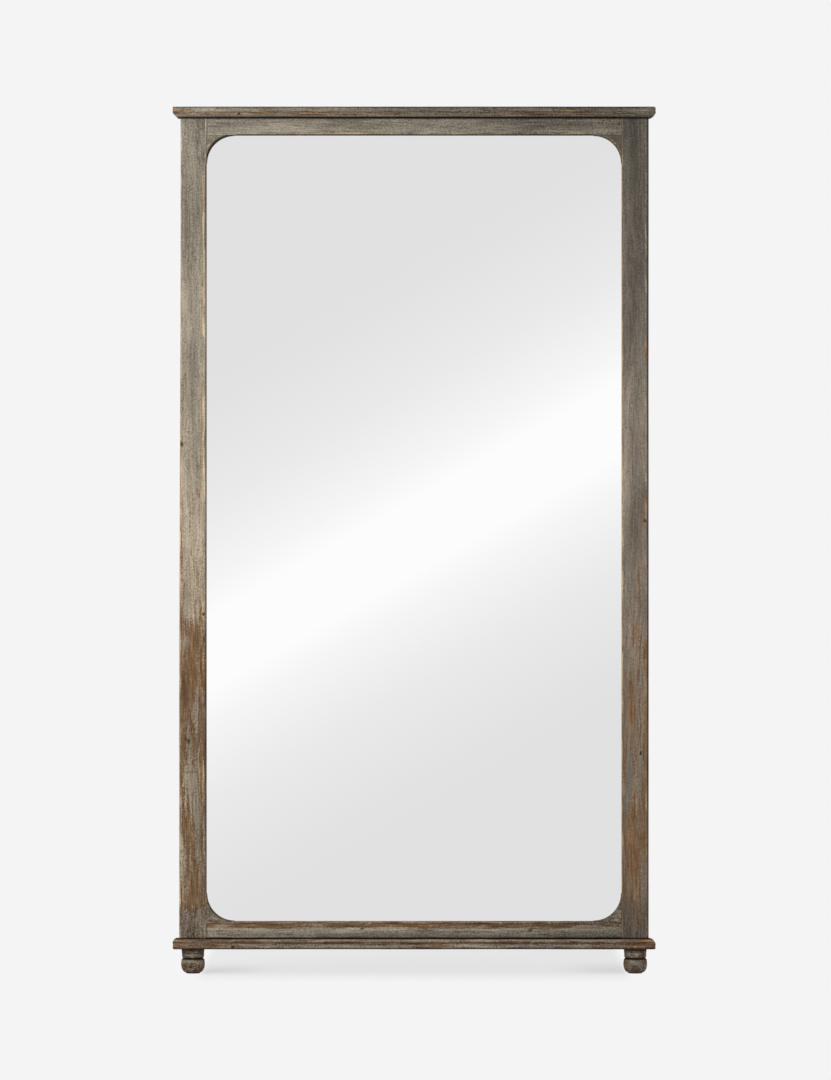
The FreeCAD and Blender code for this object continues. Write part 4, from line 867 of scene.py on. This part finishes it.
# The tone marks darken the lower ball and lighten its upper part towards the lamp: painted shade and painted
# highlight.
foot("foot_left", -1, -0.36,
     {"wash": [(-0.5, 0.027, 0.55, 0.005, 0.7), (0.6, 0.024, 0.5, 0.005, 0.5), (0.0, 0.041, 0.9, 0.003, 0.5),
               (2.6, 0.026, 0.8, 0.008, 0.4)],
      "worn": [(0.1, 0.008, 0.9, 0.003, 0.4), (-0.2, 0.0385, 0.8, 0.0015, 0.4)],
      "tone": [(0.0, 0.012, 1.2, 0.006, -0.12), (0.0, 0.028, 1.0, 0.004, 0.12)],
      "dirt": [(-0.2, 0.0145, 0.10, 0.0022, 0.9), (0.0, 0.0445, 1.2, 0.0014, 0.5)]},
     (6.1, 0.2, 0.4), "brown_wood", 81)
foot("foot_right", 1, -0.34,
     {"wash": [(-0.4, 0.022, 0.30, 0.007, 0.7), (0.35, 0.020, 0.30, 0.008, 0.6),
               (-0.2, 0.044, 0.8, 0.003, 0.5), (2.9, 0.020, 0.8, 0.008, 0.4)],
      "worn": [(0.3, 0.041, 0.8, 0.0018, 0.6), (0.0, 0.006, 1.0, 0.002, 0.3)],
      "tone": [(0.0, 0.010, 1.2, 0.005, -0.12), (-0.3, 0.024, 0.6, 0.006, 0.15)],
      "dirt": [(0.1, 0.0255, 0.25, 0.0014, 0.5), (0.2, 0.0465, 1.0, 0.0012, 0.5)]},
     (7.1, 0.2, 0.4), "brown_wood", 91)


def even_finish(name, noise, stops, roughness, relief, stretch=(1, 1, 1), **more):
    """A finish from one noise (scale, detail, roughness) on stretched coordinates: its colour is read off
    the stops, its roughness goes from one value to the other by a smooth step of the noise from 0.3 to 0.7,
    and its relief is (strength, depth). more are other inputs of the surface."""
    made, tree, spot = blank(name)
    scale, detail, roughening = noise
    grain = add(tree, "Mapping", {0: spot, 3: stretch})
    grain = add(tree, "TexNoise", {0: grain, 2: scale, 3: detail, 4: roughening})
    inputs = {"Base Color": ramp(tree, grain, stops), "Roughness": ease(tree, grain, 0.3, 0.7, *roughness),
              "Normal": add(tree, "Bump", {"Height": grain, "Strength": relief[0], "Distance": relief[1]})}
    add(tree, "OutputMaterial", {0: add(tree, "BsdfPrincipled", inputs | more)})
    return made


def cover(finish, *names):
    """Gives CAD nodes a finish in place of their own."""
    for name in names:
        nodes[name].data.materials.clear()
        nodes[name].data.materials.append(finish)


cover(even_finish("brown_felt", (1800.0, 3.0, 0.5), [(0.3, card(40, 34, 28)), (0.7, card(74, 64, 54))],
                  (0.95, 0.95), (0.6, 0.0004), **{"Sheen Weight": 0.3}), "foot_pad_left", "foot_pad_right")


# ---- The mirror glass. Five millimetre plate, silvered and painted grey on the back, with ground edges
# that look green. It stands on two rubber blocks in the bottom rebate; the bumpers are of the same rubber.
GLASS_T, SKIN_FULL, SKIN_NIL = 0.005, 0.0002, 0.0006   # how deep a face's look is full, and where it has gone
EDGE_ROUGH = 0.35

silvered, tree, spot = blank("silvered_glass")
depth = add(tree, "SeparateXYZ", {0: spot}).outputs["Y"]
front = ease(tree, depth, GLASS_Y + SKIN_NIL, GLASS_Y + SKIN_FULL)
painted = ease(tree, depth, GLASS_Y + GLASS_T - SKIN_NIL, GLASS_Y + GLASS_T - SKIN_FULL)
edge = mixed(tree, painted, card(96, 128, 116), card(122, 124, 126))
tint = mixed(tree, front, edge, card(250, 250, 250))
film = add(tree, "TexNoise", {0: spot, 2: 5.0, 3: 3.0, 4: 0.6})
rough = reckon(tree, "ADD", ease(tree, film, 0.60, 0.80, 0.0, 0.012),
               reckon(tree, "MULTIPLY", reckon(tree, "SUBTRACT", 1.0, front), EDGE_ROUGH))
surface = add(tree, "BsdfPrincipled", {"Base Color": tint, "Metallic": front, "Roughness": rough})
add(tree, "OutputMaterial", {0: surface})
cover(silvered, "mirror_glass")
cover(even_finish("black_rubber", (260.0, 4.0, 0.5), [(0.35, card(26, 26, 27)), (0.7, card(52, 52, 53))],
                  (0.5, 0.75), (0.25, 0.0003)), "setting_blocks", "wall_bumper_left", "wall_bumper_right")


# ---- The fillets and the back panel. Planed pine strips, held with brads, press the glass against the
# lip; a brown hardboard panel closes the back. The dowels under the cornice are turned from the same pine.
# Pale earlywood and honey latewood lines, from a noise drawn out along the grain.
PINE = [(0.32, card(176, 134, 86)), (0.5, card(214, 178, 126)), (0.7, card(232, 204, 158))]
upright_pine, level_pine = (
    even_finish(name, (330.0, 3.0, 0.55), PINE, (0.5, 0.66), (0.3, 0.0002), stretch)
    for name, stretch in (("pine_upright", (1, 1, 0.03)), ("pine_level", (0.03, 1, 1))))
cover(upright_pine, "glass_fillet_left", "glass_fillet_right", "cornice_dowels")
cover(level_pine, "glass_fillet_top", "glass_fillet_bottom")

board, tree, spot = blank("brown_hardboard")
pulp = add(tree, "TexNoise", {0: spot, 2: 700.0, 3: 3.0, 4: 0.7})
cloud = add(tree, "TexNoise", {0: spot, 2: 5.0, 3: 4.0})
brown = ramp(tree, add(tree, "Mix", {0: 0.4, 2: cloud, 3: pulp}),
             [(0.36, card(112, 80, 50)), (0.5, card(132, 98, 64)), (0.66, card(150, 114, 78))])
tooth = add(tree, "Bump", {"Height": pulp, "Strength": 0.25, "Distance": 0.0003})
gloss = ease(tree, cloud, 0.3, 0.7, 0.42, 0.6)
surface = add(tree, "BsdfPrincipled", {"Base Color": brown, "Roughness": gloss, "Normal": tooth})
add(tree, "OutputMaterial", {0: surface})
cover(board, "back_panel")


# ---- The screws, brads, bolts and hangers. Zinc-plated steel, dull from handling. The pan heads have a
# cross recess, and each strap's rolled loop holds a wire ring that swings.
HEAD_R, HEAD_H, RECESS = 0.004, 0.002, 0.0011
HEAD_RINGS = [0.0, 0.0004, 0.0008, 0.0012, 0.0016, 0.0020, 0.0024, 0.0029, 0.0033, 0.0036, 0.0038, 0.0039,
              HEAD_R]
ARM_HALF, ARM_SLOPE = 0.00062, 0.00025      # across an arm of the recess: its half width and its side
ARM_END, ARM_FADE = 0.0023, 0.0006          # along it: where it ends and over what it fades
SHANK = [(HEAD_R, -0.0001), (0.0017, -0.0001), (0.0017, -0.012), (0.0002, -0.014)]     # radius, depth
HEAD_STEPS = 48

zinc = even_finish("zinc_steel", (420.0, 4.0, 0.6),
                   [(0.32, card(120, 118, 112)), (0.5, card(168, 168, 164)), (0.7, card(196, 196, 194))],
                   (0.28, 0.5), (0.2, 0.0002), Metallic=1.0)
cover(zinc, "fillet_pins", "base_screws", "foot_bolts", "hanger_strap_left", "hanger_strap_right")


def pan_heads(name, places, head_h, node, turn_seed):
    """Pan-headed screws: over a disc the head rises as H · (1 - (r/R)^4)^(1/2), less a cross recess whose
    depth fades outwards. Each is turned by its own angle, and a short shank reaches into the wood."""
    r = np.array(HEAD_RINGS)[:, None]
    angle = np.linspace(0, 2 * pi, HEAD_STEPS, endpoint=False)
    u, v = r * np.cos(angle), r * np.sin(angle)
    arm = np.clip((ARM_HALF - np.minimum(np.abs(u), np.abs(v))) / ARM_SLOPE, 0, 1)
    arm = arm * np.clip((ARM_END - r) / ARM_FADE, 0, 1)
    height = head_h * np.sqrt(np.clip(1 - (r / HEAD_R) ** 4, 0, 1)) - RECESS * arm
    cap = np.stack([u, height, v], -1)
    shank = np.stack([np.stack([ring_r * np.cos(angle), np.full(HEAD_STEPS, y), ring_r * np.sin(angle)], -1)
                      for ring_r, y in SHANK])
    one = np.concatenate([cap, shank])
    spin = np.random.default_rng(turn_seed).uniform(0, pi, len(places))[:, None, None]
    x = one[..., 0] * np.cos(spin) - one[..., 2] * np.sin(spin)
    z = one[..., 0] * np.sin(spin) + one[..., 2] * np.cos(spin)
    heads = np.stack([x, one[..., 1] + 0 * x, z], -1) + np.array(places)[:, None, None, :]
    skin(name, heads, zinc, node, "zinc_steel", sharp=50)


LEDGE = (GLASS_REBATE + PANEL_REBATE) / 2   # from the window's edge to the panel's screws
HALF_Z = (Z_SIGHT_HIGH - Z_SIGHT_LOW) / 2
LAST_SCREW = 0.070                          # from the window's corner
SCREW_ROWS, SCREW_COLUMNS = 6, 3
panel_places = [(side * (X_SIGHT + LEDGE), BACK_Y, z) for side in (-1, 1)
                for z in MIDDLE_Z + np.linspace(-1, 1, SCREW_ROWS) * (HALF_Z - LAST_SCREW)]
panel_places += [(x, BACK_Y, MIDDLE_Z + end * (HALF_Z + LEDGE)) for end in (-1, 1)
                 for x in np.linspace(-1, 1, SCREW_COLUMNS) * (X_SIGHT - LAST_SCREW)]
pan_heads("back_screw_heads", panel_places, HEAD_H, "back_screws", 101)

HANGER_X, RING_Z, STRAP_T = 0.52075, 1.645, 0.0018
STRAP_HEAD_H, STRAP_DROPS = 0.0022, (0.0285, 0.041)     # the drops count from the ring's axis
strap_places = [(side * HANGER_X, BACK_Y + STRAP_T, RING_Z - drop) for side in (-1, 1)
                for drop in STRAP_DROPS]
pan_heads("hanger_screw_heads", strap_places, STRAP_HEAD_H, "hanger_screws", 103)

RING_Y, WIRE_R = 0.0306, 0.002
RING_HALF, RING_CORNER = 0.016, 0.005


def hanging_ring(name, side, node, body):
    """A wire ring: a round wire carried along a straight bar, two small quarter turns and a half circle. A
    point is path + wire · (cos a · outwards + sin a · backwards)."""
    side_x = RING_HALF - RING_CORNER
    bar = np.linspace(-1, 1, 9)[:-1] * side_x
    turn = np.linspace(0, pi / 2, 9)[:-1]
    bow = np.linspace(0, pi, 33)[:-1]
    path = np.concatenate([
        np.stack([bar, 0 * bar], -1),
        np.stack([side_x + RING_CORNER * np.sin(turn), RING_CORNER * (np.cos(turn) - 1)], -1),
        np.stack([RING_HALF * np.cos(bow), -RING_CORNER - RING_HALF * np.sin(bow)], -1),
        np.stack([-side_x - RING_CORNER * np.cos(turn), RING_CORNER * (np.sin(turn) - 1)], -1)])
    out = outward(path)
    angle = np.linspace(0, 2 * pi, 20, endpoint=False)
    flat = path[:, None] + WIRE_R * np.cos(angle)[None, :, None] * out[:, None]
    rings = np.stack([side * HANGER_X + flat[..., 0], RING_Y + WIRE_R * np.sin(angle) + 0 * flat[..., 0],
                      RING_Z + flat[..., 1]], -1)
    skin(name, rings, zinc, node, "zinc_steel", body=body, closed=True)


hanging_ring("ring_left_wire", -1, "hanger_ring_left", "ring_left")
hanging_ring("ring_right_wire", 1, "hanger_ring_right", "ring_right")
